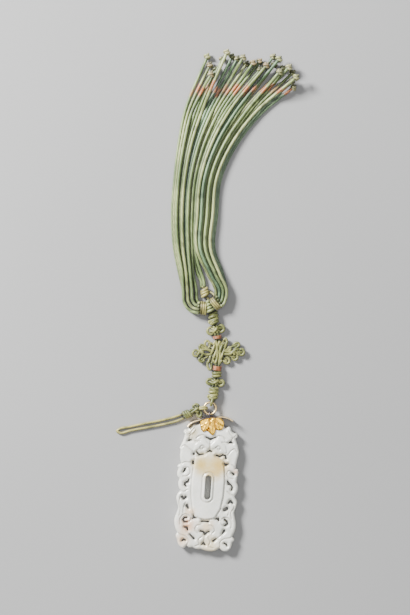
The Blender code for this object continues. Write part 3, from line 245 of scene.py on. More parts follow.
# Honey and russet tints, as (middle, radius, wobble of the border, colour, strength)
JADE_TINTS = [
    ((0.4, 12.6), 12.5, 6.0, (0.72, 0.59, 0.29), 0.8),
    ((-4.6, 12.2), 7.6, 4.5, (0.60, 0.42, 0.09), 0.95),
    ((5.2, 12.8), 8.4, 5.0, (0.60, 0.41, 0.09), 1.0),
    ((3.0, 8.8), 5.5, 4.0, (0.61, 0.42, 0.11), 0.7),
    ((-10.2, -21.0), 7.5, 5.0, (0.72, 0.38, 0.18), 0.85),
    ((-8.8, -13.4), 4.6, 4.0, (0.70, 0.42, 0.17), 0.8),
    ((-12.0, -29.0), 6.5, 4.5, (0.74, 0.48, 0.24), 0.75),
    ((14.2, 9.8), 3.4, 2.5, (0.66, 0.34, 0.18), 0.85),
    ((-9.8, 29.5), 6.0, 5.0, (0.60, 0.50, 0.27), 0.8),
    ((0.5, -21.0), 6.5, 5.0, (0.74, 0.53, 0.27), 0.75),
    ((3.0, -31.5), 9.0, 5.0, (0.78, 0.63, 0.35), 0.75),
]

# The gilt flap and the roof strip, as offsets from the neck's top
FLAP_OUTLINE = [
    (4.6, 1.4), (6.0, 0.2), (6.3, -2.3), (5.5, -4.4), (3.9, -5.0), (2.1, -4.9), (1.8, -6.2), (0.7, -8.0),
    (-0.9, -7.2), (-1.9, -6.3), (-3.2, -5.7), (-4.6, -6.5), (-5.7, -5.6), (-6.6, -2.9), (-6.8, -1.0),
    (-5.2, 0.6),
]
FLAP_VEINS = [
    [(-2.6, 0.4), (-3.6, -2.6), (-4.6, -5.6)],
    [(-3.2, -1.4), (-5.0, -2.6), (-6.0, -3.2)],
    [(0.2, 0.6), (0.3, -3.2), (0.5, -6.6)],
    [(2.2, 0.8), (3.4, -1.6), (4.2, -4.2)],
    [(3.0, -0.8), (4.6, -1.6), (5.6, -2.2)],
]
PETAL_BORDER = [(-1.7, -1.6), (-1.5, -3.6), (-0.7, -6.0), (0.45, -7.4), (1.5, -5.6), (1.75, -3.6),
                (1.5, -1.6), (0.1, 0.9), (-1.7, -1.6)]
FLAP_NOTCH = [(-2.1, -4.6), (-2.5, -5.8)]
FLAP_CREASES = [
    [(-1.6, 0.8), (-1.5, -2.4), (-1.9, -4.9), (-2.4, -6.0)],
    [(1.6, 0.8), (1.5, -2.0), (1.9, -3.8), (2.1, -4.8)],
]
# Its carving, as (strokes, rise, width)
FLAP_CARVING = [
    (FLAP_CREASES, -0.34, 0.42),
    (FLAP_VEINS, 0.16, 0.26),
    ([PETAL_BORDER], 0.15, 0.3),
    ([FLAP_NOTCH], -0.3, 0.45),
]
FLAP_STANDOFF = 0.45
BACK_FLAP_EDGE = 0.3
BACK_FLAP_DOME = 0.28
BACK_FLAP_ROUNDING = 0.8
ROOF_ARCH = [(-13.5, -4.4), (-12.3, -2.7), (-10.7, -1.5), (-7.2, -0.1), (-3.9, 1.2), (-1.8, 1.75),
             (1.7, 2.1), (5.0, 2.4), (8.8, 1.8), (11.2, 0.6)]

# Main cord, as offsets from the ring's top, and the pieces on it
CORD_LINE = [(1.2, 0.0), (1.05, 4.4), (1.5, 8.0), (2.15, 11.0), (2.35, 18.5), (2.7, 26.8), (1.2, 35.5),
             (0.1, 39.6), (-1.7, 46.1), (-2.4, 51.0)]
FIRST_KNOT_AT = 0.8
CROSS_TILTS = {"lower_cross_knot": 12.0, "upper_cross_knot": 7.0}
STACK = [
    ("lower_double_knot", "double", 4.2 * CORD_DIAMETER),
    ("lower_cross_knot", "cross", 2.8 * CORD_DIAMETER),
    ("band_knot", "band", 2.0 * CORD_DIAMETER),
    ("lower_orange_wrap", "wrap", 4.0 * THREAD_DIAMETER),
    ("endless_knot", "endless", 8.2 * CORD_DIAMETER),
    ("upper_orange_wrap", "wrap", 3.0 * THREAD_DIAMETER),
    ("upper_cross_knot", "cross", 3.2 * CORD_DIAMETER),
    ("upper_double_knot", "double", 4.2 * CORD_DIAMETER),
]
# Woven body of the endless knot, and its loops as (middle, half sizes, lean in degrees, start of a filling)
BODY_RUNS = 4
BODY_HALF = (4.4, 5.3)
KNOT_LOOPS = [
    ((-5.6, 4.3), (2.1, 2.7), 10.0, 0.0),
    ((3.9, 5.3), (1.8, 3.0), -12.0, 0.6),
    ((-4.4, -7.2), (1.8, 3.1), 8.0, 0.0),
    ((4.9, -4.4), (2.6, 2.2), -35.0, 0.5),
    ((-12.0, -0.6), (2.2, 2.4), 0.0, 0.75),
    ((-8.9, 2.9), (1.8, 1.9), 0.0, 0.7),
    ((-8.8, -4.0), (2.1, 2.0), 0.0, 0.6),
    ((10.4, 4.1), (2.3, 1.9), 15.0, 0.7),
    ((13.2, 0.2), (2.1, 2.4), 0.0, 0.75),
    ((9.5, -2.7), (2.2, 2.1), 0.0, 0.6),
    ((6.4, 1.9), (1.6, 1.6), 0.0, 0.4),
]
KNOT_STEMS = [
    [(-3.6, 0.9, 0.2), (-6.4, 1.5, 0.5), (-9.2, 0.9, 0.6), (-10.8, -1.4, 0.3)],
    [(-3.6, -1.1, 0.2), (-6.4, -1.3, 0.3), (-8.4, -0.4, 0.9), (-10.6, 1.2, 0.4)],
    [(-9.4, 1.6, 0.5), (-8.0, -0.6, 0.9), (-8.9, -2.4, 0.5)],
    [(3.6, -1.0, 0.2), (6.8, -0.9, 0.5), (9.4, 0.5, 0.6), (11.6, -1.2, 0.3)],
    [(3.6, 0.7, 0.2), (7.6, 0.2, 0.3), (9.8, 1.4, 0.9), (11.6, 1.8, 0.4)],
    [(10.6, 2.8, 0.5), (9.0, 0.6, 0.9), (9.4, -1.2, 0.5)],
]

# Tassel, as offsets from the end of the main cord's last knot
LEFT_COLLAR = (-5.2, 1.2)
RIGHT_COLLAR = (0.9, 4.0)
RIGHT_COLLAR_ANGLE = math.radians(35.0)
COLLAR_LENGTH = 3.4
STRANDS = 24
SIDE_STRANDS = 11
SLOTS = 4
LAYERS = 3
LAYING_STEP = 0.6
HUMP_REACH = 5.0
COLLAR_TURNS = 3
TAIL_KNOT = (-5.1, 9.8)
TAIL_KNOT_ANGLE = math.radians(105.0)
TAIL_STEM = [(-0.5, 3.6, 1.6), (0.1, 1.2, 2.0), (0.2, -1.8, 2.0), (1.4, -4.2, 2.4), (1.2, -6.0, 2.4)]
TAIL_ARC = [(1.0, 0.3, 1.6), (2.9, 0.4, 1.9), (4.4, -0.1, 2.4), (5.6, -1.8, 3.2)]
TWIN_START = np.array([-1.9, 2.9])
TWIN_SPACING = np.array([1.4, 0.5])
TWIN_RISE = (-0.8, 4.0)
TWIN_BANK = [(-9.4, 19.4), (-7.4, 19.4)]
LEFT_GATE = [(-17.0, 10.0), (-9.8, 10.0)]
RIGHT_GATE = [(1.0, 10.3), (6.9, 11.0)]
LEFT_BANK = [(-20.0, 18.9), (-11.8, 19.2)]
RIGHT_BANK = [(-4.3, 19.6), (4.6, 20.4)]
STATIONS = [
    [(-23.8, 32.2), (-1.1, 33.9)],
    [(-26.4, 51.3), (-1.0, 53.2)],
    [(-26.6, 70.6), (-0.3, 72.5)],
    [(-25.6, 92.7), (8.9, 95.2)],
    [(-24.2, 106.5), (19.5, 110.0)],
]
STRAND_ENDS = [
    (-12.0, 141.6), (-10.2, 136.9), (-9.1, 131.6), (-6.6, 134.8), (-3.5, 140.7), (-1.4, 144.2),
    (1.7, 142.4), (4.7, 141.3), (7.9, 141.9), (10.2, 139.0), (13.8, 139.4), (17.4, 140.6), (18.0, 135.9),
    (21.3, 138.4), (24.7, 143.8), (28.0, 142.3), (25.6, 139.4), (30.9, 137.6), (28.8, 135.2), (33.8, 138.3),
    (36.2, 135.5), (38.3, 132.4), (36.3, 130.4), (37.4, 127.4),
]

# Dyed bands: the line that they lie along, as its height at x = 0 and its slope, and how far they stray
BAND_LINE = (219.6, 0.07)
BAND_SCATTER = 2.0

# Side loop, as offsets from the ring's centre
HITCH_ANGLE = 188.0
CLOVER_KNOT = (-7.6, -1.6)
CLOVER_LOOPS = [
    ((-0.2, 2.0), (2.2, 1.9), 20.0),
    ((1.9, -1.9), (1.9, 2.2), 10.0),
    ((-2.2, -1.2), (1.9, 1.9), 0.0),
]
SLEEVE_KNOT = (-12.4, -4.2)
SLEEVE_LEAN = math.radians(205.0)
SIDE_LOOP = [
    (-14.6, -4.4), (-19.5, -6.4), (-26.3, -8.6), (-36.6, -11.4), (-44.1, -13.6), (-49.0, -15.0),
    (-50.2, -16.2), (-48.6, -17.1), (-43.4, -15.6), (-33.0, -12.9), (-22.7, -10.1), (-18.4, -8.7),
    (-14.2, -6.6),
]

NECK = np.array([0.0, NECK_TOP])
RING_RADIUS = (RING_OUTER_DIAMETER - RING_WIRE) / 2
STAPLE_TOP = NECK_TOP + ROOF_AT_STAPLE + ROOF_THICKNESS / 2 + STAPLE_STANDOFF + RING_WIRE / 2
RING_CENTRE = np.array([STAPLE_X, STAPLE_TOP + RING_RADIUS])
RING_LEVEL = JADE_THICKNESS / 2


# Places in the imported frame

def frame_shift():
    """Offset from the plaque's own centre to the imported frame, from where the ring lies."""
    low, high = [np.array(corner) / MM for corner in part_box("suspension_ring")]
    return np.array([*((low + high) / 2)[:2] - RING_CENTRE, 0.0])


SHIFT = frame_shift()


def in_row(points):
    """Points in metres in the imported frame."""
    return (np.asarray(points, float) + SHIFT) * MM


# Smooth lines and distances

def smooth(points, step):
    """Evenly spaced points on a smooth curve through the given ones."""
    points = np.asarray(points, float)
    chords = np.linalg.norm(np.diff(points, axis=0), axis=1)
    knots = np.concatenate([[0.0], np.cumsum(chords)])
    slopes = np.gradient(points, knots, axis=0)
    count = max(2, int(round(knots[-1] / step)))
    at = np.linspace(0.0, knots[-1], count + 1)
    span = np.clip(np.searchsorted(knots, at, side="right") - 1, 0, len(chords) - 1)
    width = chords[span][:, None]
    t = ((at - knots[span]) / chords[span])[:, None]
    start_share = 2 * t**3 - 3 * t**2 + 1
    end_share = 3 * t**2 - 2 * t**3
    lean_out = (t**3 - 2 * t**2 + t) * width
    lean_in = (t**3 - t**2) * width
    return (start_share * points[span] + end_share * points[span + 1]
            + lean_out * slopes[span] + lean_in * slopes[span + 1])


def smooth_loop(points, step):
    """Evenly spaced points on a smooth closed curve through the given ones."""
    points = np.asarray(points, float)
    wrapped = np.vstack([points[-3:], points, points[:3]])
    lengths = lengths_along(wrapped)
    line = smooth(wrapped, step)
    along = lengths_along(line)
    along *= lengths[-1] / along[-1]
    inside = (along >= lengths[3]) & (along < lengths[3 + len(points)] - step / 2)
    return line[inside]


def lengths_along(points):
    steps = np.linalg.norm(np.diff(np.asarray(points, float), axis=0), axis=1)
    return np.concatenate([[0.0], np.cumsum(steps)])


def points_at(points, places):
    """Points at the given lengths along a line of points."""
    points = np.asarray(points, float)
    along = lengths_along(points)
    return np.stack([np.interp(places, along, points[:, axis]) for axis in range(points.shape[1])], axis=1)


def heading(angle):
    return np.array([math.cos(angle), math.sin(angle)])


def beside(line, offset):
    """A flat line moved to its left by an offset."""
    lean = np.gradient(line, axis=0)
    lean /= np.linalg.norm(lean, axis=1)[:, None]
    return line + np.stack([-lean[:, 1], lean[:, 0]], axis=1) * offset


def stroke_distance(places, stroke):
    """Distance from each place to a stroke of changing half width: negative inside it."""
    stroke = np.asarray(stroke, float)
    best = np.full(len(places), np.inf)
    for start, end in zip(stroke, stroke[1:]):
        run = end[:2] - start[:2]
        share = np.clip((places - start[:2]) @ run / (run @ run), 0.0, 1.0)
        nearest = start[:2] + share[:, None] * run
        reach = start[2] + share * (end[2] - start[2]) if len(start) > 2 else 0.0
        best = np.minimum(best, np.linalg.norm(places - nearest, axis=1) - reach)
    return best


def loop_distance(places, loop):
    """Distance from each place to a closed outline: negative inside it."""
    loop = np.asarray(loop, float)
    best = np.full(len(places), np.inf)
    inside = np.zeros(len(places), bool)
    for start, end in zip(loop, np.roll(loop, -1, axis=0)):
        run = end - start
        share = np.clip((places - start) @ run / (run @ run), 0.0, 1.0)
        best = np.minimum(best, np.linalg.norm(places - start - share[:, None] * run, axis=1))
        spans = (start[1] > places[:, 1]) != (end[1] > places[:, 1])
        rise = np.where(run[1] == 0.0, 1.0, run[1])
        crossing = start[0] + (places[:, 1] - start[1]) * run[0] / rise
        inside ^= spans & (places[:, 0] < crossing)
    return np.where(inside, -best, best)


def eased(share):
    share = np.clip(share, 0.0, 1.0)
    return share * share * (3.0 - 2.0 * share)


def rounded(share):
    """Quarter-circle rise from 0 at the edge to 1."""
    return np.sqrt(1.0 - (1.0 - np.clip(share, 0.0, 1.0)) ** 2)


def near(distance, width):
    """1 on a line, falling to 0 within about twice a width of it."""
    return np.exp(-((distance / width) ** 2))


# Objects

def mark(piece, label, value):
    """An attribute of a whole piece, as one value or one at each vertex."""
    layer = piece.data.attributes.new(label, "FLOAT", "POINT")
    values = np.broadcast_to(np.asarray(value, np.float32), (len(piece.data.vertices),))
    layer.data.foreach_set("value", np.ascontiguousarray(values))


def add_object(name, vertices, faces, material, slot, nodes, **marks):
    """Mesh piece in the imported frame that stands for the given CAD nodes."""
    mesh = bpy.data.meshes.new(name)
    mesh.from_pydata([tuple(place) for place in in_row(vertices)], [], faces)
    mesh.shade_smooth()
    mesh.materials.append(material)
    piece = bpy.data.objects.new(name, mesh)
    for label, value in marks.items():
        mark(piece, label, value)
    bpy.context.scene.collection.objects.link(piece)
    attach(piece, "root")
    if nodes:
        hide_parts(*nodes)
    return piece


def tube_frames(path, closed):
    """Two directions across a path at each of its points, carried along without twisting."""
    ahead = np.roll(path, -1, axis=0) - np.roll(path, 1, axis=0) if closed else np.gradient(path, axis=0)
    ahead /= np.linalg.norm(ahead, axis=1)[:, None]
    up = np.array([0.0, 0.0, 1.0])
    if abs(ahead[0] @ up) > 0.9:
        up = np.array([1.0, 0.0, 0.0])
    side = np.cross(ahead[0], up)
    sides = []
    for direction in ahead:
        side = side - (side @ direction) * direction
        side = side / np.linalg.norm(side)
        sides.append(side)
    sides = np.array(sides)
    if closed:
        last = sides[-1] - (sides[-1] @ ahead[0]) * ahead[0]
        last /= np.linalg.norm(last)
        other = np.cross(ahead[0], sides[0])
        turn = math.atan2(last @ other, last @ sides[0])
        untwist = -turn * np.arange(len(path)) / len(path)
        others = np.cross(ahead, sides)
        sides = np.cos(untwist)[:, None] * sides + np.sin(untwist)[:, None] * others
    return sides, np.cross(ahead, sides)


def tube(path, radius, sides=12, closed=False, lay=PLY_LAY, depth=PLY_DEPTH):
    """Twisted cord along a path, as (vertices, faces, distance along it, ply groove)."""
    path = np.asarray(path, float)
    radius = np.broadcast_to(np.asarray(radius, float), (len(path),)).copy()
    along = lengths_along(path)
    if not closed:
        ahead_start = (path[0] - path[1]) / np.linalg.norm(path[0] - path[1])
        ahead_end = (path[-1] - path[-2]) / np.linalg.norm(path[-1] - path[-2])
        caps = [(0.38, 0.72), (0.48, 0.35)]
        first = [path[0] + ahead_start * radius[0] * out for out, _ in caps[::-1]]
        last = [path[-1] + ahead_end * radius[-1] * out for out, _ in caps]
        path = np.vstack([first, path, last])
        thin_first = [radius[0] * thin for _, thin in caps[::-1]]
        thin_last = [radius[-1] * thin for _, thin in caps]
        radius = np.concatenate([thin_first, radius, thin_last])
        along = np.concatenate([[along[0]] * 2, along, [along[-1]] * 2])
    across, upward = tube_frames(path, closed)
    turn = 2 * math.pi * np.arange(sides) / sides
    turns = round(along[-1] / lay) / along[-1] if closed and along[-1] > lay else 1 / lay
    phase = PLIES * (turn[None, :] - 2 * math.pi * turns * along[:, None])
    ridge = 0.5 + 0.5 * np.cos(phase)
    reach = radius[:, None] * (1.0 - depth * (1.0 - ridge))
    places = (path[:, None] + reach[..., None] * (np.cos(turn)[None, :, None] * across[:, None]
                                                   + np.sin(turn)[None, :, None] * upward[:, None]))
    count = len(path)
    ring = np.arange(count if closed else count - 1)
    after = (ring + 1) % count
    side = np.arange(sides)
    after_side = (side + 1) % sides
    row, next_row = ring[:, None] * sides, after[:, None] * sides
    faces = np.stack([row + side, row + after_side, next_row + after_side, next_row + side],
                     axis=2).reshape(-1, 4).tolist()
    if not closed:
        faces.append(list(range(sides))[::-1])
        faces.append([(count - 1) * sides + k for k in range(sides)])
    return places.reshape(-1, 3), faces, np.repeat(along, sides), (1.0 - ridge).reshape(-1)


def run(points, radius, step=0.3, sides=10):
    """Piece of cord along a smooth line through the points."""
    return tube(smooth(points, step), radius, sides)


def tubes_piece(name, tubes, material, slot, nodes=(), **marks):
    """One piece made of several tubes."""
    vertices, quads, _, groove = zip(*tubes)
    starts = np.cumsum([0] + [len(places) for places in vertices]).tolist()
    faces = [[start + corner for corner in face] for start, own in zip(starts, quads) for face in own]
    return add_object(name, np.vstack(vertices), faces, material, slot, nodes,
                      groove=np.concatenate(groove), **marks)


def corners_of(grid):
    """The four corners of each cell of a grid, in turn."""
    return grid[:-1, :-1], grid[1:, :-1], grid[1:, 1:], grid[:-1, 1:]


def clipped_plate(outline, edge, top, bottom, cell, levels, coarse=1):
    """Plate over the places where edge is positive, between two height functions, as vertices and faces.

    The grid's cells are cut along the line where edge is 0, so that its border is smooth.
    """
    low, high = outline.min(axis=0) - cell, outline.max(axis=0) + cell
    step = coarse * cell
    xs, ys = (np.arange(low[axis], high[axis] + step, step) for axis in (0, 1))
    grid = np.stack(np.meshgrid(xs, ys, indexing="ij"), axis=2)
    value = edge(grid.reshape(-1, 2)).reshape(len(xs), len(ys))
    value = np.where(np.abs(value) < 1e-4, 1e-4, value)
    inside = value > 0
    ids = -np.ones(inside.shape, int)
    ids[inside] = np.arange(inside.sum())
    flat = [tuple(place) for place in grid[inside]]
    whole, some = np.all(corners_of(inside), axis=0), np.any(corners_of(inside), axis=0)
    polygons = np.stack([corner[whole] for corner in corners_of(ids)], axis=1).tolist()
    cuts = {}
    borders = []

    def cut_between(a, b):
        key = (a, b) if a < b else (b, a)
        if key not in cuts:
            share = value[a] / (value[a] - value[b])
            place = grid[a] + np.clip(share, 0.02, 0.98) * (grid[b] - grid[a])
            cuts[key] = len(flat)
            flat.append(tuple(place))
        return cuts[key]

    for i, j in zip(*np.nonzero(some & ~whole)):
        corners = [(i, j), (i + 1, j), (i + 1, j + 1), (i, j + 1)]
        loop = []
        for a, b in zip(corners, corners[1:] + corners[:1]):
            if inside[a]:
                loop.append((ids[a], False))
            if inside[a] != inside[b]:
                loop.append((cut_between(a, b), True))
        polygons.append([corner for corner, _ in loop])
        for (a, cut_a), (b, cut_b) in zip(loop, loop[1:] + loop[:1]):
            if cut_a and cut_b:
                borders.append((a, b))
    flat = np.array(flat)
    count = len(flat)
    upper, lower = (np.zeros(count) + height(flat) for height in (top, bottom))
    vertices = [np.column_stack([flat, upper]), np.column_stack([flat, lower])]
    faces = polygons + [[count + corner for corner in face][::-1] for face in polygons]
    rim = sorted({corner for pair in borders for corner in pair})
    rows = [dict(zip(rim, rim))]
    for level in range(1, levels):
        share = level / levels
        vertices.append(np.column_stack([flat[rim], upper[rim] * (1 - share) + lower[rim] * share]))
        first = 2 * count + (level - 1) * len(rim)
        rows.append(dict(zip(rim, range(first, first + len(rim)))))
    rows.append({corner: count + corner for corner in rim})
    for a, b in borders:
        for high_row, low_row in zip(rows, rows[1:]):
            faces.append([high_row[b], high_row[a], low_row[a], low_row[b]])
    return np.vstack(vertices), faces


# Materials

class Shade:
    """The nodes of one new material."""

    def __init__(self, name):
        self.material = bpy.data.materials.new(name)
        self.material.use_nodes = True
        self.tree = self.material.node_tree

    def put(self, socket, value):
        """Sets a socket to a number, a colour, a vector or another node's output."""
        if isinstance(value, bpy.types.NodeSocket):
            self.tree.links.new(value, socket)
        else:
            socket.default_value = (*value, 1.0) if socket.type == "RGBA" else value

    def add(self, kind, output, inputs, **settings):
        node = self.tree.nodes.new("ShaderNode" + kind)
        for label, value in settings.items():
            setattr(node, label, value)
        for label, value in inputs.items():
            self.put(node.inputs[label], value)
        return node.outputs[output]

    def attribute(self, label):
        return self.add("Attribute", "Fac", {}, attribute_name=label)

    def place(self):
        return self.add("TexCoord", "Object", {})

    def noise(self, scale, detail=3.0, roughness=0.55):
        """Noise over the object, with its features about 1/scale metres wide."""
        return self.add("TexNoise", "Fac", {"Scale": scale, "Detail": detail, "Roughness": roughness,
                                            "Vector": self.place()})

    def mapped(self, value, from_low, from_high, to_low=0.0, to_high=1.0):
        return self.add("MapRange", "Result", {"Value": value, "From Min": from_low, "From Max": from_high,
                                               "To Min": to_low, "To Max": to_high},
                        interpolation_type="SMOOTHSTEP")

    def mixed(self, share, low, high):
        """Colour between low and high: each is a colour or another node's output."""
        return self.add("Mix", 2, {"Factor": share, 6: low, 7: high}, data_type="RGBA")

    def computed(self, first, second, operation="MULTIPLY"):
        return self.add("Math", 0, {0: first, 1: second}, operation=operation)

    def bump(self, height, strength, distance):
        return self.add("Bump", "Normal", {"Strength": strength, "Distance": distance * MM, "Height": height})

    def spot(self, centre, radius, wobble):
        """1 near a place, falling to 0 at a radius, with an uneven border."""
        middle = tuple(in_row([*centre, JADE_THICKNESS]))
        distance = self.add("VectorMath", "Value", {0: self.place(), 1: middle}, operation="DISTANCE")
        uneven = self.computed(self.noise(260.0, 4.0), wobble * MM)
        border = (radius + wobble / 2) * MM
        return self.mapped(self.computed(distance, uneven, "ADD"), 0.25 * border, border, 1.0, 0.0)

    def finished(self, sockets):
        """The material, once the shader's sockets are set."""
        shader = self.tree.nodes["Principled BSDF"]
        for label, value in sockets.items():
            self.put(shader.inputs[label], value)
        return self.material


def jade_material():
    shade = Shade("jade")
    cloud = shade.noise(95.0, 5.0, 0.6)
    vein = shade.noise(420.0, 6.0, 0.7)
    body = shade.mixed(shade.mapped(cloud, 0.35, 0.68), (0.82, 0.81, 0.74), (0.66, 0.67, 0.60))
    body = shade.mixed(shade.mapped(vein, 0.58, 0.8, 0.0, 0.6), body, (0.90, 0.87, 0.78))
    for centre, radius, wobble, colour, strength in JADE_TINTS:
        body = shade.mixed(shade.computed(shade.spot(centre, radius, wobble), strength), body, colour)
    # Painted shade: darker in the incised lines and along the carved edges
    hollow = shade.computed(shade.attribute("hollow"), 0.75)
    return shade.finished({
        "Base Color": shade.mixed(hollow, body, (0.44, 0.41, 0.34)),
        "Subsurface Weight": 0.2,
        "Subsurface Radius": (1.0, 0.9, 0.75),
        "Subsurface Scale": 1.6 * MM,
        "IOR": 1.61,
        "Roughness": shade.mapped(vein, 0.3, 0.7, 0.2, 0.34),
        "Normal": shade.bump(vein, 0.25, 0.05),
    })


def gilt_material(name, colour, dark, wear):
    shade = Shade(name)
    patch = shade.noise(320.0, 4.0)
    body = shade.mixed(shade.mapped(patch, 0.5, 0.75, 0.0, wear), colour, dark)
    return shade.finished({
        # Darker where the pieces are marked: painted shade on the leaf, a darker middle on the roof strip and
        # an evenly darker staple
        "Base Color": shade.mixed(shade.computed(shade.attribute("hollow"), 0.95), body, dark),
        "Metallic": 1.0,
        "Roughness": shade.mapped(patch, 0.3, 0.8, 0.24, 0.46),
        "Normal": shade.bump(shade.noise(1600.0, 3.0), 0.5, 0.05),
    })


def silk_material(name, light, mid, dark, drift):
    """Silk cord with slow changes of tone along it, and painted shade: darker between its plies than on them,
    and darker in the crevices between cords.
    """
    shade = Shade(name)
    slow = shade.noise(drift, 3.0)
    fine = shade.noise(2600.0, 2.0)
    body = shade.mixed(shade.mapped(slow, 0.36, 0.66), light, mid)
    body = shade.mixed(shade.mapped(fine, 0.52, 0.8, 0.0, 0.5), body, dark)
    # Painted shade between the plies of the cord
    body = shade.mixed(shade.computed(shade.attribute("groove"), 0.5), body, dark)
    rust = shade.mixed(shade.mapped(fine, 0.4, 0.7), (0.52, 0.17, 0.05), (0.28, 0.06, 0.015))
    body = shade.mixed(shade.attribute("dye"), body, rust)
    pale = shade.mixed(shade.mapped(slow, 0.45, 0.6), (0.30, 0.27, 0.14), (0.32, 0.21, 0.11))
    body = shade.mixed(shade.attribute("bleached"), body, pale)
    return shade.finished({
        # Painted shade: darker where the silk lies below the cords around it
        "Base Color": shade.mixed(shade.computed(shade.attribute("crevice_shade"), 0.9), body, dark),
        "Roughness": 0.42,
        "Specular IOR Level": 0.6,
        "Sheen Weight": 0.25,
        "Sheen Roughness": 0.4,
        "Normal": shade.bump(fine, 0.6, 0.08),
    })


def floor_material():
    shade = Shade("floor")
    tone = shade.mapped(shade.noise(3.0, 2.0), 0.3, 0.7)
    return shade.finished({
        "Base Color": shade.mixed(tone, (0.33, 0.33, 0.328), (0.35, 0.35, 0.348)),
        "Roughness": 0.9,
        "Specular IOR Level": 0.1,
    })


SAGE = silk_material("sage_silk", (0.38, 0.375, 0.11), (0.135, 0.15, 0.034), (0.016, 0.022, 0.003), 200.0)
OLIVE = silk_material("olive_silk", (0.27, 0.28, 0.085), (0.10, 0.115, 0.03), (0.012, 0.018, 0.003), 260.0)
STRAW = silk_material("straw_silk", (0.54, 0.47, 0.15), (0.26, 0.245, 0.065), (0.035, 0.032, 0.006), 260.0)
GREY_GREEN = silk_material("grey_green_silk", (0.33, 0.415, 0.155), (0.145, 0.215, 0.065),
                           (0.018, 0.032, 0.005), 60.0)
BLUE_GREEN = silk_material("blue_green_silk", (0.22, 0.345, 0.165), (0.085, 0.16, 0.07),
                           (0.01, 0.026, 0.009), 60.0)
PALE_GREEN = silk_material("pale_green_silk", (0.46, 0.51, 0.21), (0.23, 0.285, 0.09),
                           (0.03, 0.038, 0.007), 60.0)
ORANGE = silk_material("orange_silk", (0.47, 0.18, 0.065), (0.25, 0.07, 0.02), (0.05, 0.012, 0.004), 500.0)
JADE = jade_material()
GOLD = gilt_material("gold_leaf", (1.0, 0.59, 0.06), (0.45, 0.17, 0.02), 0.25)
PALE_GOLD = gilt_material("pale_gold", (0.84, 0.62, 0.28), (0.24, 0.15, 0.06), 0.5)
ROOF_GILT = gilt_material("roof_gilt", (0.90, 0.70, 0.40), (0.07, 0.06, 0.08), 0.35)
TARNISH = gilt_material("tarnished_gilt", (0.20, 0.17, 0.19), (0.06, 0.05, 0.07), 0.7)


# Camera, floor and lights

def photo_centre():
    """The point on the plaque's plane that the middle of the photograph shows."""
    right = (PHOTO_SIZE[0] / 2 - PLAQUE_IN_PHOTO[0]) * PIXEL
    up = (PLAQUE_IN_PHOTO[1] - PHOTO_SIZE[1] / 2) * PIXEL
    x = right * math.cos(PLAQUE_LEAN) - up * math.sin(PLAQUE_LEAN)
    y = right * math.sin(PLAQUE_LEAN) + up * math.cos(PLAQUE_LEAN)
    return np.array([x, y])


def add_camera():
    data = bpy.data.cameras.new("camera")
    data.sensor_fit = "VERTICAL"
    data.sensor_height = SENSOR
    data.lens = SENSOR * CAMERA_HEIGHT / (PHOTO_SIZE[1] * PIXEL)
    camera = bpy.data.objects.new("camera", data)
    camera.location = tuple(in_row([*photo_centre(), CAMERA_HEIGHT + RING_LEVEL]))
    camera.rotation_euler = (0.0, 0.0, PLAQUE_LEAN)
    bpy.context.scene.collection.objects.link(camera)
    bpy.context.scene.camera = camera


def add_light(name, place, size, energy):
    data = bpy.data.lights.new(name, "AREA")
    data.shape = "DISK"
    data.size = size
    data.energy = energy
    light = bpy.data.objects.new(name, data)
    aim = LIT_PLACE - place
    light.location = place
    across = math.hypot(aim[0], aim[1])
    light.rotation_euler = (math.atan2(across, -aim[2]), 0.0, math.atan2(aim[1], aim[0]) - math.pi / 2)
    bpy.context.scene.collection.objects.link(light)


def add_floor():
    mesh = bpy.data.meshes.new("floor")
    corners = [(x * FLOOR_REACH, y * FLOOR_REACH, FLOOR_LEVEL)
               for x, y in ((-1, -1), (1, -1), (1, 1), (-1, 1))]
    mesh.from_pydata(corners, [], [(0, 1, 2, 3)])
    mesh.materials.append(floor_material())
    floor = bpy.data.objects.new("floor", mesh)
    bpy.context.scene.collection.objects.link(floor)


def add_sky():
    world = bpy.data.worlds.new("studio")
    world.use_nodes = True
    background = world.node_tree.nodes["Background"]
    background.inputs["Color"].default_value = SKY_COLOUR
    background.inputs["Strength"].default_value = SKY_STRENGTH
    bpy.context.scene.world = world


# Tassel

def stack_end():
    line = cord_line()
    return points_at(line, [FIRST_KNOT_AT + sum(length + CLEARANCE for _, _, length in STACK)])[0]


def cord_line():
    origin = RING_CENTRE + np.array([0.0, RING_OUTER_DIAMETER / 2])
    return smooth(np.array(CORD_LINE) + origin, 0.5)


def strand_pitch():
    return STRAND_DIAMETER + SILK_GAP


def collar_exit(centre, lean, slot):
    """Where a strand leaves a collar wrap: slots are counted from the outer side."""
    out = heading(lean)
    across = np.array([out[1], -out[0]]) if out[0] > 0 else np.array([-out[1], out[0]])
    offset = ((SLOTS - 1) / 2 - slot) * strand_pitch()
    return centre + out * (COLLAR_LENGTH / 2 + 2 * CLEARANCE) + across * offset, out


def bent(start, lean, gate):
    """Points of an even bend from a start and direction round to a gate, then straight up."""
    corner = start + lean * (gate[0] - start[0]) / lean[0]
    return [(1 - t) ** 2 * start + 2 * t * (1 - t) * corner + t**2 * gate for t in (0.0, 0.3, 0.6, 1.0)]


def share_of(line, share):
    low, high = np.asarray(line, float)
    return low + share * (high - low)


def side_start(collar, lean, gate, bank, rank):
    """Start of a strand's route out of a collar wrap, with the outermost strand as rank 0."""
    end = stack_end()
    start, out = collar_exit(end + collar, lean, rank // LAYERS)
    through = share_of(gate, (rank // LAYERS) / (SLOTS - 1)) + end
    return bent(start, out, through) + [share_of(bank, (rank + 0.5) / SIDE_STRANDS) + end]


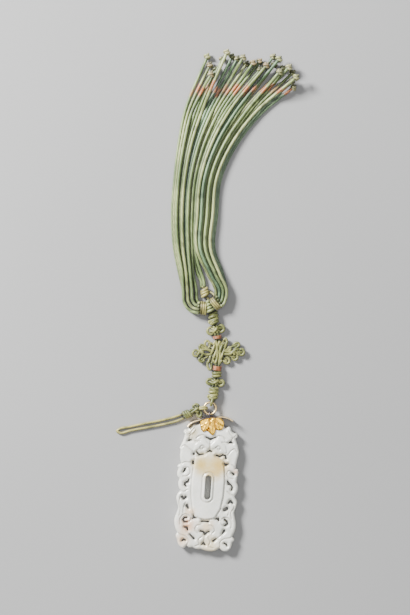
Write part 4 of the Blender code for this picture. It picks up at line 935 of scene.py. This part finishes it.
def strand_route(index):
    """Flat route of one tassel strand, from its collar or the tail knot to its end."""
    end = stack_end()
    rank = STRANDS - 1 - index
    if index < SIDE_STRANDS:
        route = side_start(LEFT_COLLAR, math.pi, LEFT_GATE, LEFT_BANK, index)
    elif rank < SIDE_STRANDS:
        route = side_start(RIGHT_COLLAR, RIGHT_COLLAR_ANGLE, RIGHT_GATE[::-1], RIGHT_BANK[::-1], rank)
    else:
        twin = index - SIDE_STRANDS
        start = end + TAIL_KNOT + (TWIN_START + twin * TWIN_SPACING)
        route = [start, start + TWIN_RISE, end + TWIN_BANK[twin]]
    route += [share_of(station, (index + 0.5) / STRANDS) + end for station in STATIONS]
    return route + [end + STRAND_ENDS[index]]


def laying_order():
    """Strands from the lowest layer to the highest."""
    ranks = [min(index, STRANDS - 1 - index) for index in range(STRANDS)]
    layer = [(1 if rank >= SIDE_STRANDS else rank % LAYERS) for rank in ranks]
    return sorted(range(STRANDS), key=lambda index: (layer[index], (index * 7) % STRANDS))


def strand_thickness(places, length):
    knot = length - np.array(END_KNOT_SPANS)
    thick = [STRAND_DIAMETER / 2, END_KNOT_DIAMETER / 2, END_KNOT_DIAMETER / 2, STRAND_DIAMETER / 2]
    return np.interp(places, knot, thick)


def eased_heights(needed):
    """Heights that pass over every needed one in long low humps."""
    reach = int(round(HUMP_REACH / LAYING_STEP))
    padded = np.pad(needed, reach, mode="edge")
    highest = np.max([padded[k:k + len(needed)] for k in range(2 * reach + 1)], axis=0)
    padded = np.pad(highest, reach, mode="edge")
    weights = np.hanning(2 * reach + 3)[1:-1]
    return np.convolve(padded, weights / weights.sum(), mode="valid")


def laid_strands():
    """Routes of all strands with their heights: each rests on those laid before it."""
    laid = []
    routes = {}
    for index in laying_order():
        line = smooth(strand_route(index), LAYING_STEP)
        along = lengths_along(line)
        radius = strand_thickness(along, along[-1])
        needed = radius.copy()
        for other_line, other_height, other_radius in laid:
            gap = np.linalg.norm(line[:, None] - other_line[None], axis=2)
            apart = radius[:, None] + other_radius[None] + 0.02
            lift = other_height[None] + np.sqrt(np.maximum(apart**2 - gap**2, 0.0))
            needed = np.maximum(needed, np.where(gap < apart, lift, 0.0).max(axis=1))
        heights = eased_heights(needed)
        laid.append((line, heights, radius))
        routes[index] = np.column_stack([line, heights])
    return routes


def end_knot(end, ahead, turn):
    """Small knot tied round a strand's end, with a short tail out of it."""
    side = np.array([-ahead[1], ahead[0], 0.0])
    up = np.cross(ahead, side)
    middle = end - ahead * END_KNOT_REACH
    around, tight = 0.98, 0.5
    route = []
    for t in np.arange(END_KNOT_STEPS) / END_KNOT_STEPS * 2 * math.pi:
        out = around + tight * math.cos(3 * t)
        across, lifted = out * math.cos(2 * t + turn), 0.7 * out * math.sin(2 * t + turn)
        route.append(middle + side * across + up * lifted + ahead * (tight * 1.3 * math.sin(3 * t)))
    tail = [middle - ahead * 0.4, middle + ahead * 1.2, middle + ahead * 1.8 + side * 0.3]
    return [tube(route, 0.74, 8, closed=True, lay=2.4), tube(smooth(tail, 0.3), 0.66, 8, lay=2.4)]


def dyed_share(index, route, places, distance):
    """Strength of the dye at places on a strand: a band with ragged ends where it crosses the dyed line."""
    past_band = route[:, 1] > BAND_LINE[0] + BAND_LINE[1] * route[:, 0]
    band = lengths_along(route)[np.argmax(past_band)] + BAND_SCATTER * (((index * 11) % 7) / 3 - 1)
    half = 1.9 + 0.45 * ((index * 7) % 3)
    ragged = 0.5 * np.sin(places[:, 0] * 5.0) + 0.4 * np.sin(places[:, 2] * 9.0)
    return eased((half + 0.6 - np.abs(distance - band + ragged)) / 1.2) * (0.9 if index % 4 else 0.5)


def make_strands():
    tones = [GREY_GREEN, PALE_GREEN, GREY_GREEN, BLUE_GREEN, GREY_GREEN, PALE_GREEN, BLUE_GREEN,
             GREY_GREEN]
    for index, route in sorted(laid_strands().items()):
        number = f"{index + 1:02d}"
        along = lengths_along(route)
        path = route[along <= along[-1] - END_KNOT_REACH]
        ahead = route[-1] - route[-6]
        ahead[2] = 0.0
        ahead /= np.linalg.norm(ahead)
        knot_end = (*route[-1][:2], max(route[-1][2], END_KNOT_DIAMETER / 2 + 0.1))
        knot = tubes_piece(f"end_knot_{number}", end_knot(knot_end, ahead, index * 1.7), PALE_GREEN,
                           "tassel_silk", bleached=0.75 if index % 3 else 0.35)
        places, faces, distance, groove = tube(path, STRAND_DIAMETER * 0.53, 10)
        strand = add_object(f"strand_{number}", places, faces, tones[(index * 5) % len(tones)], "tassel_silk",
                            [f"tassel_strand_{number}"], groove=groove,
                            dye=dyed_share(index, route, places, distance))


# Side loop

def make_side_loop():
    line = smooth(np.array(SIDE_LOOP) + RING_CENTRE, 0.5)
    radius = LOOP_CORD_DIAMETER / 2
    path = np.column_stack([line, np.full(len(line), radius)])
    loop = tubes_piece("hanging_loop_cord", [tube(path, radius, 12)], STRAW, "silk_cord", ["side_loop_cord"])


# Jade

def jade_outline():
    starts = [lobe[-1] for lobe in OUTLINE_LOBES[-1:] + OUTLINE_LOBES[:-1]]
    return np.vstack([smooth([start] + lobe, 0.7)[:-1] for start, lobe in zip(starts, OUTLINE_LOBES)])


def carved_edge(places):
    """Distance to the nearest outline or pierced hole, without the slot."""
    edge = -loop_distance(places, jade_outline())
    for stroke in HOLES:
        edge = np.minimum(edge, stroke_distance(places, stroke))
    return edge


def jade_edge(places):
    return np.minimum(carved_edge(places), stroke_distance(places, SLOT))


def groove_share(places):
    """1 in the middle of an incised line, 0 away from it."""
    nearest = np.full(len(places), np.inf)
    for groove in GROOVES:
        line = smooth(groove, 0.6)
        nearest = np.minimum(nearest, stroke_distance(places, line))
    tablet = np.abs(loop_distance(places, TABLET_OUTLINE) - TABLET_STEP_WIDTH * 0.75)
    nearest = np.minimum(nearest, tablet + 0.08)
    slot = np.abs(stroke_distance(places, SLOT) - 2.0 * RIM_WIDTH)
    nearest = np.minimum(nearest, slot + 0.1)
    return near(nearest, GROOVE_WIDTH)


def in_seat(places):
    """1 on the flat seats under the gilt flaps, 0 outside them."""
    x, y = places.T
    inside = np.minimum(np.minimum(x - SEAT_LEFT, SEAT_RIGHT - x), y - (NECK_TOP - SEAT_LENGTH))
    return eased(inside / 0.3)


def jade_top(places):
    """Height of the carved face."""
    inward = carved_edge(places) / CROWN_WIDTH
    tablet = -loop_distance(places, TABLET_OUTLINE)
    slot = stroke_distance(places, SLOT)
    height = JADE_THICKNESS - TABLET_RISE - RIM_RISE - EDGE_DROP * (1.0 - rounded(inward))
    height = height + TABLET_RISE * eased(0.5 + tablet / TABLET_STEP_WIDTH)
    for scroll in CLOUD_SCROLLS:
        widest = max(point[2] for point in scroll)
        height = height + CLOUD_RISE * rounded(-stroke_distance(places, scroll) / widest)
    height = height + RIM_RISE * eased(1.0 - np.abs(slot - RIM_WIDTH / 2) / RIM_WIDTH)
    height = height - GROOVE_DEPTH * groove_share(places)
    seat = JADE_THICKNESS - GILT_THICKNESS - CLEARANCE
    lowered = np.minimum(height, seat)
    share = in_seat(places)
    return height * (1 - share) + lowered * share


def jade_bottom(places):
    raised = BACK_DROP * (1.0 - rounded(jade_edge(places) / BACK_WIDTH))
    share = in_seat(places)
    return raised * (1 - share) + (GILT_THICKNESS + CLEARANCE) * share


def make_jade():
    vertices, faces = clipped_plate(jade_outline(), jade_edge, jade_top, jade_bottom, JADE_CELL, 3)
    flat = vertices[:, :2]
    # Painted shade in the incised lines and along the edges of the outline and the holes
    edge_shade = np.exp(-np.maximum(carved_edge(flat), 0.0) / 0.25)
    add_object("carved_jade", vertices, faces, JADE, "jade", ["jade_plaque"],
               hollow=np.maximum(0.8 * groove_share(flat), 0.5 * edge_shade))


# Gilt mount

def flap_relief(places):
    """Height of the leaf above its edge: three domed lobes with their carving and a hammered face."""
    x, y = (places - NECK).T
    height = 0.30 * rounded(-loop_distance(places, flap_outline()) / 1.6)
    for strokes, rise, width in FLAP_CARVING:
        for stroke in strokes:
            height = height + rise * near(stroke_distance(places - NECK, stroke), width)
    return height + 0.04 * np.sin(3.1 * x + 1.3 * y) * np.sin(2.3 * y - 1.1 * x)


def flap_outline():
    return smooth_loop(np.array(FLAP_OUTLINE) + NECK, 0.35)


def ribbon_outline(line, thickness):
    return np.vstack([beside(line, thickness / 2), beside(line, -thickness / 2)[::-1]])[::-1]


def make_flaps():
    """The leaf on the face and the plain flap on the back."""
    seat = JADE_THICKNESS - GILT_THICKNESS - CLEARANCE
    outline = flap_outline()

    def edge(places):
        return -loop_distance(places, outline)

    def back_face(places):
        return BACK_FLAP_EDGE - BACK_FLAP_DOME * rounded(edge(places) / BACK_FLAP_ROUNDING)

    vertices, faces = clipped_plate(outline, edge, lambda places: seat + FLAP_STANDOFF + flap_relief(places),
                                    lambda places: seat - 0.02, GILT_CELL, 2)
    flat = vertices[:, :2]
    # Painted shade in the creases and the notch of the leaf, and along its edge
    crease_shade = [near(stroke_distance(flat - NECK, crease), 0.4) for crease in FLAP_CREASES]
    notch_shade = near(stroke_distance(flat - NECK, FLAP_NOTCH), 0.5)
    hollow = np.maximum(0.8 * np.maximum(*crease_shade), notch_shade)
    hollow = np.maximum(hollow, 0.6 * np.exp(-np.maximum(edge(flat), 0.0) / 0.2))
    add_object("leaf_flap", vertices, faces, GOLD, "gilt", ["gilt_canopy"], hollow=hollow)
    vertices, faces = clipped_plate(outline, edge, lambda places: GILT_THICKNESS + BACK_FLAP_DOME, back_face,
                                    GILT_CELL, 2, coarse=2)
    add_object("back_flap", vertices, faces, PALE_GOLD, "gilt", [], hollow=0.0)


def make_roof():
    strip = ribbon_outline(smooth(np.array(ROOF_ARCH) + NECK, 0.5), ROOF_THICKNESS)
    top = JADE_THICKNESS + CLEARANCE

    def edge(places):
        return -loop_distance(places, strip)

    def drop(places):
        return 1.0 - rounded(edge(places) / (ROOF_THICKNESS / 2))

    vertices, faces = clipped_plate(strip, edge, lambda places: top - 0.25 * drop(places),
                                    lambda places: 0.2 * drop(places), GILT_CELL, 4)
    # Darker in the middle, round the staple
    hollow = eased((5.6 - np.abs(vertices[:, 0] - STAPLE_X)) / 2.0)
    add_object("roof_strip", vertices, faces, ROOF_GILT, "gilt", [], hollow=hollow)


def staple_route():
    reach = RING_WIRE / 2 + STAPLE_WIRE / 2 + CLEARANCE
    foot = NECK_TOP + ROOF_AT_STAPLE
    route = [(STAPLE_X, foot, RING_LEVEL - reach)]
    for angle in np.linspace(-90.0, 90.0, 15):
        y = STAPLE_TOP + reach * math.cos(math.radians(angle))
        route.append((STAPLE_X, y, RING_LEVEL + reach * math.sin(math.radians(angle))))
    route.append((STAPLE_X, foot, RING_LEVEL + reach))
    return np.array(route)


def make_ring():
    turn = np.arange(RING_STEPS) / RING_STEPS * 2 * math.pi
    path = np.column_stack([RING_CENTRE[0] + RING_RADIUS * np.cos(turn),
                            RING_CENTRE[1] + RING_RADIUS * np.sin(turn), np.full(RING_STEPS, RING_LEVEL)])
    tubes_piece("round_ring", [tube(path, RING_WIRE / 2, 16, closed=True, depth=0.0)], PALE_GOLD, "gilt",
                ["suspension_ring"], hollow=0.0)
    tubes_piece("ring_staple", [tube(staple_route(), STAPLE_WIRE / 2, 12, depth=0.0)], TARNISH, "gilt",
                hollow=0.3)


# Knots on the main cord

def placed(points, middle, angle):
    """Points of a flat figure, turned to a direction and moved to its middle."""
    points = np.asarray(points, float)
    lean = angle - math.pi / 2
    turned = points.copy()
    turned[:, 0] = points[:, 0] * math.cos(lean) - points[:, 1] * math.sin(lean) + middle[0]
    turned[:, 1] = points[:, 0] * math.sin(lean) + points[:, 1] * math.cos(lean) + middle[1]
    return turned


def moved(tubes, middle, angle):
    return [(placed(places, middle, angle), *rest) for places, *rest in tubes]


def wrap_turn(at, half_width, half_depth, level, slant, wire, sides=12):
    """One turn of cord round a bundle that runs along Y, tilted by a slant."""
    turn = np.arange(TURN_STEPS) / TURN_STEPS * 2 * math.pi
    x = half_width * np.cos(turn)
    z = level + half_depth * np.sin(turn)
    return tube(np.column_stack([x, at + slant * np.cos(turn), z]), wire, sides, closed=True)


def loop_line(middle, half, lean, level, radius):
    """Closed line inside the given outer half sizes, whose side nearer the knot's middle dips."""
    turn = np.arange(LOOP_STEPS) / LOOP_STEPS * 2 * math.pi
    x = (half[0] - radius) * np.cos(turn)
    y = (half[1] - radius) * np.sin(turn)
    along = np.stack([x * math.cos(lean) - y * math.sin(lean), x * math.sin(lean) + y * math.cos(lean)],
                     axis=1)
    middle = np.asarray(middle, float)
    out = middle / max(np.linalg.norm(middle), 0.1)
    return np.column_stack([along + middle, level + LOOP_DIP * (along @ out) / max(half)])


def cord_loop(middle, half, lean, level, radius):
    """Loop of cord of the given outer half sizes, leaning by some degrees."""
    return tube(loop_line(middle, half, math.radians(lean), level, radius), radius, closed=True)


def double_knot(length):
    """Two flat knots one above the other, each of two tight turns, with a small bight at the side."""
    radius = CORD_DIAMETER * 0.53
    level = KNOT_HALF_DEPTH
    width, depth = 1.66 * CORD_DIAMETER - radius, level - radius
    tubes = []
    for block, slant in ((-1, 0.55), (1, 0.4)):
        for row in (-1, 1):
            at = length * (0.245 * block + 0.112 * row)
            wider = 1.06 if row == -block else 0.98
            tubes.append(wrap_turn(at, width * wider, depth, level, slant, radius))
        over = [(-1.9 * block, length * (0.245 * block + 0.17), level + 0.9),
                (0.2 * block, length * 0.245 * block + 0.1, 2 * level - radius * 0.7),
                (1.9 * block, length * (0.245 * block - 0.17), level + 0.9)]
        tubes.append(run(over, radius * 0.86))
    bight = loop_line((-width - 0.5, -length * 0.26), (0.95, 1.0), 0.0, level, 0.5)
    return tubes + [tube(bight, radius * 0.7, 10, closed=True)]


def cross_knot(length):
    """Two round ears joined by a crossing, with a filling cord in each and short runs above and below."""
    radius = CORD_DIAMETER * 0.48
    level = CORD_DIAMETER / 2 + (CORD_DIAMETER + SILK_GAP) / 2
    ear = (1.62 * CORD_DIAMETER, length / 2 * 0.98)
    tubes = []
    for side in (-1, 1):
        middle = (side * (3.2 * CORD_DIAMETER - ear[0]), -0.25 * side)
        fill = [(side * 0.4, 0.5 * side, level + 0.9), (side * 1.7, 0.3 * side, level + 0.6),
                (middle[0] + side * 0.5, middle[1], level - 0.1)]
        high = level + 0.75 + 0.5 * (side > 0)
        crossing = [(-1.9, -1.15 * side, level), (-0.5, -0.35 * side, high), (0.6, 0.4 * side, high),
                    (1.9, 1.2 * side, level)]
        stub = [(-0.5 * side, side * length / 2, level - 0.2), (-0.3 * side, side * length / 4, level + 0.8),
                (0.2 * side, 0.0, level + 0.3)]
        tubes += [cord_loop(middle, ear, 0.0, level, radius), run(fill, radius * 0.92), run(crossing, radius),
                  run(stub, radius * 0.95)]
    return tubes


def band_knot(length):
    """Two turns of cord side by side."""
    width = 1.65 * CORD_DIAMETER - 0.8
    return [wrap_turn(row, width, KNOT_HALF_DEPTH - 0.8, KNOT_HALF_DEPTH, 0.3, 0.82, 10)
            for row in (-0.8, 0.8)]


def thread_wrap(length):
    """Close turns of thread round the cord, as one open helix."""
    inset = THREAD_DIAMETER / 2
    turns = length / THREAD_DIAMETER
    turn = np.linspace(0.0, 2 * math.pi * turns, int(28 * turns))
    x = (1.45 * CORD_DIAMETER - inset) * np.cos(turn)
    y = np.linspace(-length / 2 + inset, length / 2 - inset, len(turn))
    z = KNOT_HALF_DEPTH + (KNOT_HALF_DEPTH - inset) * np.sin(turn)
    return [tube(np.column_stack([x, y, z]), inset, 8, lay=1.6)]


def endless_knot(length):
    """Woven body of steep runs over slanting ones, with its ears, its two clovers and its necks."""
    radius = CORD_DIAMETER * 0.43
    level = CORD_DIAMETER * 1.05
    width, height = BODY_HALF
    tubes = []
    share = np.linspace(-0.06, 1.06, 44)
    swing = 2 * share - 1
    for row in range(BODY_RUNS):
        offset = 2 * row / (BODY_RUNS - 1) - 1
        wave = 0.42 * np.cos(math.pi * ((BODY_RUNS - 1) * share + row))
        steep = np.column_stack([offset * (width - 1.3) + 1.9 * swing, height * swing, level + 0.5 + wave])
        flat = np.column_stack([width * swing, offset * (height - 1.9) - 1.9 * swing, level - 0.25 - wave])
        tubes += [tube(steep, radius * 0.95), tube(flat, radius * 0.95)]
    for count, (middle, half, lean, filled) in enumerate(KNOT_LOOPS):
        at = level + 0.22 * (count % 3 - 1)
        tubes.append(cord_loop(middle, half, lean, at, radius))
        if filled:
            core = [(*(np.array(middle) * share), at + 0.1) for share in (filled, 1.02)]
            tubes.append(run(core, radius * 0.8))
    tubes += [run(np.array(stem) + (0.0, 0.0, level), radius, 0.4, 12) for stem in KNOT_STEMS]
    for end in (-1, 1):
        for side in (-1, 1):
            neck = [(side * 2.2, end * (height - 0.9), level + 0.4),
                    (side * 0.85, end * (length / 2 - 0.2), level + 0.25)]
            tubes.append(run(neck, radius, sides=12))
    return tubes


KNOT_MAKERS = {"double": double_knot, "cross": cross_knot, "band": band_knot, "wrap": thread_wrap,
               "endless": endless_knot}


def make_stack():
    at = FIRST_KNOT_AT
    line = cord_line()
    for name, kind, length in STACK:
        start, end = points_at(line, [at, at + length])
        angle = math.atan2(*(end - start)[::-1]) + math.radians(CROSS_TILTS.get(name, 0.0))
        material, slot = (ORANGE, "orange_thread") if kind == "wrap" else (SAGE, "silk_cord")
        tubes = moved(KNOT_MAKERS[kind](length), (start + end) / 2, angle)
        tubes_piece("tied_" + name, tubes, material, slot, [name])
        at += length + CLEARANCE
    core = points_at(line, np.linspace(FIRST_KNOT_AT - 0.6, at + 1.2, 90))
    level = np.full(len(core), KNOT_HALF_DEPTH)
    tubes = [tube(np.column_stack([beside(core, side * CORE_RADIUS), level]), CORE_RADIUS, 10)
             for side in (-1, 1)]
    tubes_piece("main_cord_core", tubes, SAGE, "silk_cord")


def hitch_route(angle, ends, wire):
    """Cord turned round the ring's wire at an angle, with both ends led to one place outside."""
    out = heading(angle)
    wire_point = RING_CENTRE + RING_RADIUS * out
    turn = RING_WIRE / 2 + wire / 2 + CLEARANCE / 3
    route = [(*(wire_point - turn * math.cos(share) * out), RING_LEVEL + turn * math.sin(share))
             for share in np.radians(np.linspace(-90.0, 90.0, 13))]
    low_end = (*ends, max(wire / 2, RING_LEVEL - turn * 0.8))
    high_end = (*ends, RING_LEVEL + turn * 0.6)
    return smooth([low_end] + route + [high_end], 0.3)


def make_bight():
    first = points_at(cord_line(), [FIRST_KNOT_AT + 0.6])[0]
    toward = first - RING_CENTRE
    route = hitch_route(math.atan2(toward[1], toward[0]), first, CORD_DIAMETER)
    tubes_piece("bight_on_ring", [tube(route, CORD_DIAMETER * 0.46, 10)], SAGE, "silk_cord", ["ring_bight"])


# Knots of the side loop

def make_side_hitch():
    wire = LOOP_CORD_DIAMETER
    end = RING_CENTRE + (RING_RADIUS + RING_WIRE / 2 + 1.3 * wire) * heading(math.radians(HITCH_ANGLE))
    turns = [tube(hitch_route(math.radians(HITCH_ANGLE + lean), end + (0.0, lift), wire), wire / 2)
             for lean, lift in ((0.0, 0.0), (-17.0, 0.7))]
    tubes_piece("hitch_on_ring", turns, STRAW, "silk_cord", ["side_hitch"])


def make_side_clover():
    radius = LOOP_CORD_DIAMETER / 2
    tubes = []
    for count, ((x, y), half, lean) in enumerate(CLOVER_LOOPS):
        fill = [(0.2 * x, 0.2 * y, 2.9), (0.6 * x, 0.6 * y, 2.4), (x, y, 1.7)]
        tubes += [cord_loop((x, y), half, lean, 1.9 + 0.25 * (count % 2), radius), run(fill, radius * 0.95)]
    for side in (-1, 1):
        crossing = [(2.9, 0.9 - side * 0.3, 1.9), (0.6, side * 0.9, 3.0 + 0.2 * side),
                    (-1.2, -side * 0.6, 3.0), (-3.4, -1.6 - side * 0.6, 2.0)]
        tubes.append(run(crossing, radius))
    tubes_piece("tied_side_clover", moved(tubes, RING_CENTRE + CLOVER_KNOT, math.pi / 2), OLIVE, "silk_cord",
                ["side_clover_knot"])


def make_side_sleeve():
    wire = LOOP_CORD_DIAMETER
    radius, level = wire / 2, 1.4 * wire
    tubes = [wrap_turn(row, 1.75 * wire - radius, level - radius, level, slant, radius * 1.08)
             for row, slant in ((-1.35, 0.5), (-0.1, 0.3), (1.15, 0.45))]
    for side in (-1, 1):
        through = [(side * 0.9, -4.4, wire * 0.9), (side * 1.0, 0.0, level), (side * 1.1, 2.6, wire * 0.6)]
        tubes.append(run(through, radius * 0.95, 0.4))
    tubes_piece("tied_side_sleeve", moved(tubes, RING_CENTRE + SLEEVE_KNOT, SLEEVE_LEAN), OLIVE, "silk_cord",
                ["side_sleeve_knot"])


# Head of the tassel

def skein_route(offset, level):
    """A strand through both wraps, pinched where they hold it and swelling between them."""
    left, right = (stack_end() + collar for collar in (LEFT_COLLAR, RIGHT_COLLAR))
    out = heading(RIGHT_COLLAR_ANGLE)
    up = np.array([-out[1], out[0]])
    across = np.array([0.0, 1.0])
    pinched = 0.68 * offset
    half = COLLAR_LENGTH / 2
    flat = [
        left - (half + 1.2, 0.0) + across * offset,
        left - (half, 0.0) + across * pinched,
        left + (half, 0.0) + across * pinched,
        (left + right) / 2 + (across + up) / 2 * offset + (-0.2, 0.0),
        right - out * half + up * pinched,
        right + out * half + up * pinched,
        right + out * (half + 1.2) + up * offset,
    ]
    low = STRAND_DIAMETER * 0.6
    held = low + (level - low) * 0.72
    return smooth(np.column_stack([flat, [level, held, held, level + 0.4, held, held, level]]), 0.4)


def make_collars():
    wire = COLLAR_LENGTH / COLLAR_TURNS
    half_width, half_depth = SLOTS * strand_pitch() / 2, LAYERS * strand_pitch() / 2
    for name, middle, angle, tilt in (("left", LEFT_COLLAR, math.pi, 0.1),
                                      ("right", RIGHT_COLLAR, RIGHT_COLLAR_ANGLE, 0.6)):
        turns = [wrap_turn((row - 1) * wire, half_width - wire / 2, half_depth - wire / 2, half_depth, tilt,
                           wire * 0.54) for row in range(COLLAR_TURNS)]
        tubes_piece(f"collar_{name}", moved(turns, stack_end() + middle, angle), STRAW, "silk_cord",
                    [f"tassel_collar_{name}"])


def make_skein():
    layer_rise = (LAYERS * strand_pitch() - STRAND_DIAMETER) / (LAYERS - 1)
    tubes = []
    for layer in range(LAYERS):
        for slot in range(SLOTS):
            offset = (slot - (SLOTS - 1) / 2) * strand_pitch() * 0.96
            route = skein_route(offset, STRAND_DIAMETER / 2 + layer * layer_rise)
            tubes.append(tube(route, STRAND_DIAMETER / 2, 10))
    tubes_piece("skein_strands", tubes, PALE_GREEN, "tassel_silk", ["tassel_skein"])


def make_tail():
    tail = stack_end() + TAIL_KNOT
    tubes = [wrap_turn(row, 1.62, 1.3, 2.1, slant, 0.84)
             for row, slant in ((-1.3, 0.6), (0.15, 0.45), (1.5, 0.7))]
    tubes = moved(tubes + [run(TAIL_STEM, 0.75, 0.4)], tail, TAIL_KNOT_ANGLE)
    tubes_piece("tied_tail_knot", tubes, STRAW, "silk_cord", ["tail_knot"])
    tubes_piece("arc_of_tail", [run(np.array(TAIL_ARC) + (*tail, 0.0), 0.58, 0.4)], STRAW, "silk_cord",
                ["tail_arc"])


# Painted shade in the crevices of the silk

def spread(field, merge):
    """A field of heights in which each cell takes up the cells round it."""
    for axis in (0, 1):
        reach = CREVICE_REACH if merge is np.mean else 1
        field = merge([np.roll(field, step, axis) for step in range(-reach, reach + 1)], axis=0)
    return field


def shade_crevices():
    """Marks how far each part of the silk lies below the mean height of the cords around it, as painted shade
    that darkens it there.
    """
    pieces = [piece for piece in bpy.data.objects
              if piece.type == "MESH" and piece.data.materials[0].name.endswith("silk")]
    places = []
    for piece in pieces:
        flat = np.empty(3 * len(piece.data.vertices))
        piece.data.vertices.foreach_get("co", flat)
        places.append(flat.reshape(-1, 3) / MM)
    every = np.vstack(places)
    cells = ((every[:, :2] - every[:, :2].min(axis=0)) / CREVICE_CELL).astype(int) + CREVICE_REACH + 1
    heights = np.zeros(cells.max(axis=0) + CREVICE_REACH + 2)
    np.maximum.at(heights, tuple(cells.T), every[:, 2])
    around = spread(spread(heights, np.max), np.mean)
    crevice_shade = eased((around[tuple(cells.T)] - every[:, 2] - CREVICE_START) / CREVICE_DEPTH)
    start = 0
    for piece, own in zip(pieces, places):
        strength = STRAND_CREVICE_SHADE if piece.name.startswith("strand_") else 1.0
        mark(piece, "crevice_shade", strength * crevice_shade[start:start + len(own)])
        start += len(own)


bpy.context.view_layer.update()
add_camera()
make_strands()
make_side_loop()
add_floor()
for light in LIGHTS:
    add_light(*light)
add_sky()
make_jade()
make_flaps()
make_roof()
make_ring()
make_bight()
make_stack()
make_side_hitch()
make_side_clover()
make_side_sleeve()
make_collars()
make_skein()
make_tail()
shade_crevices()
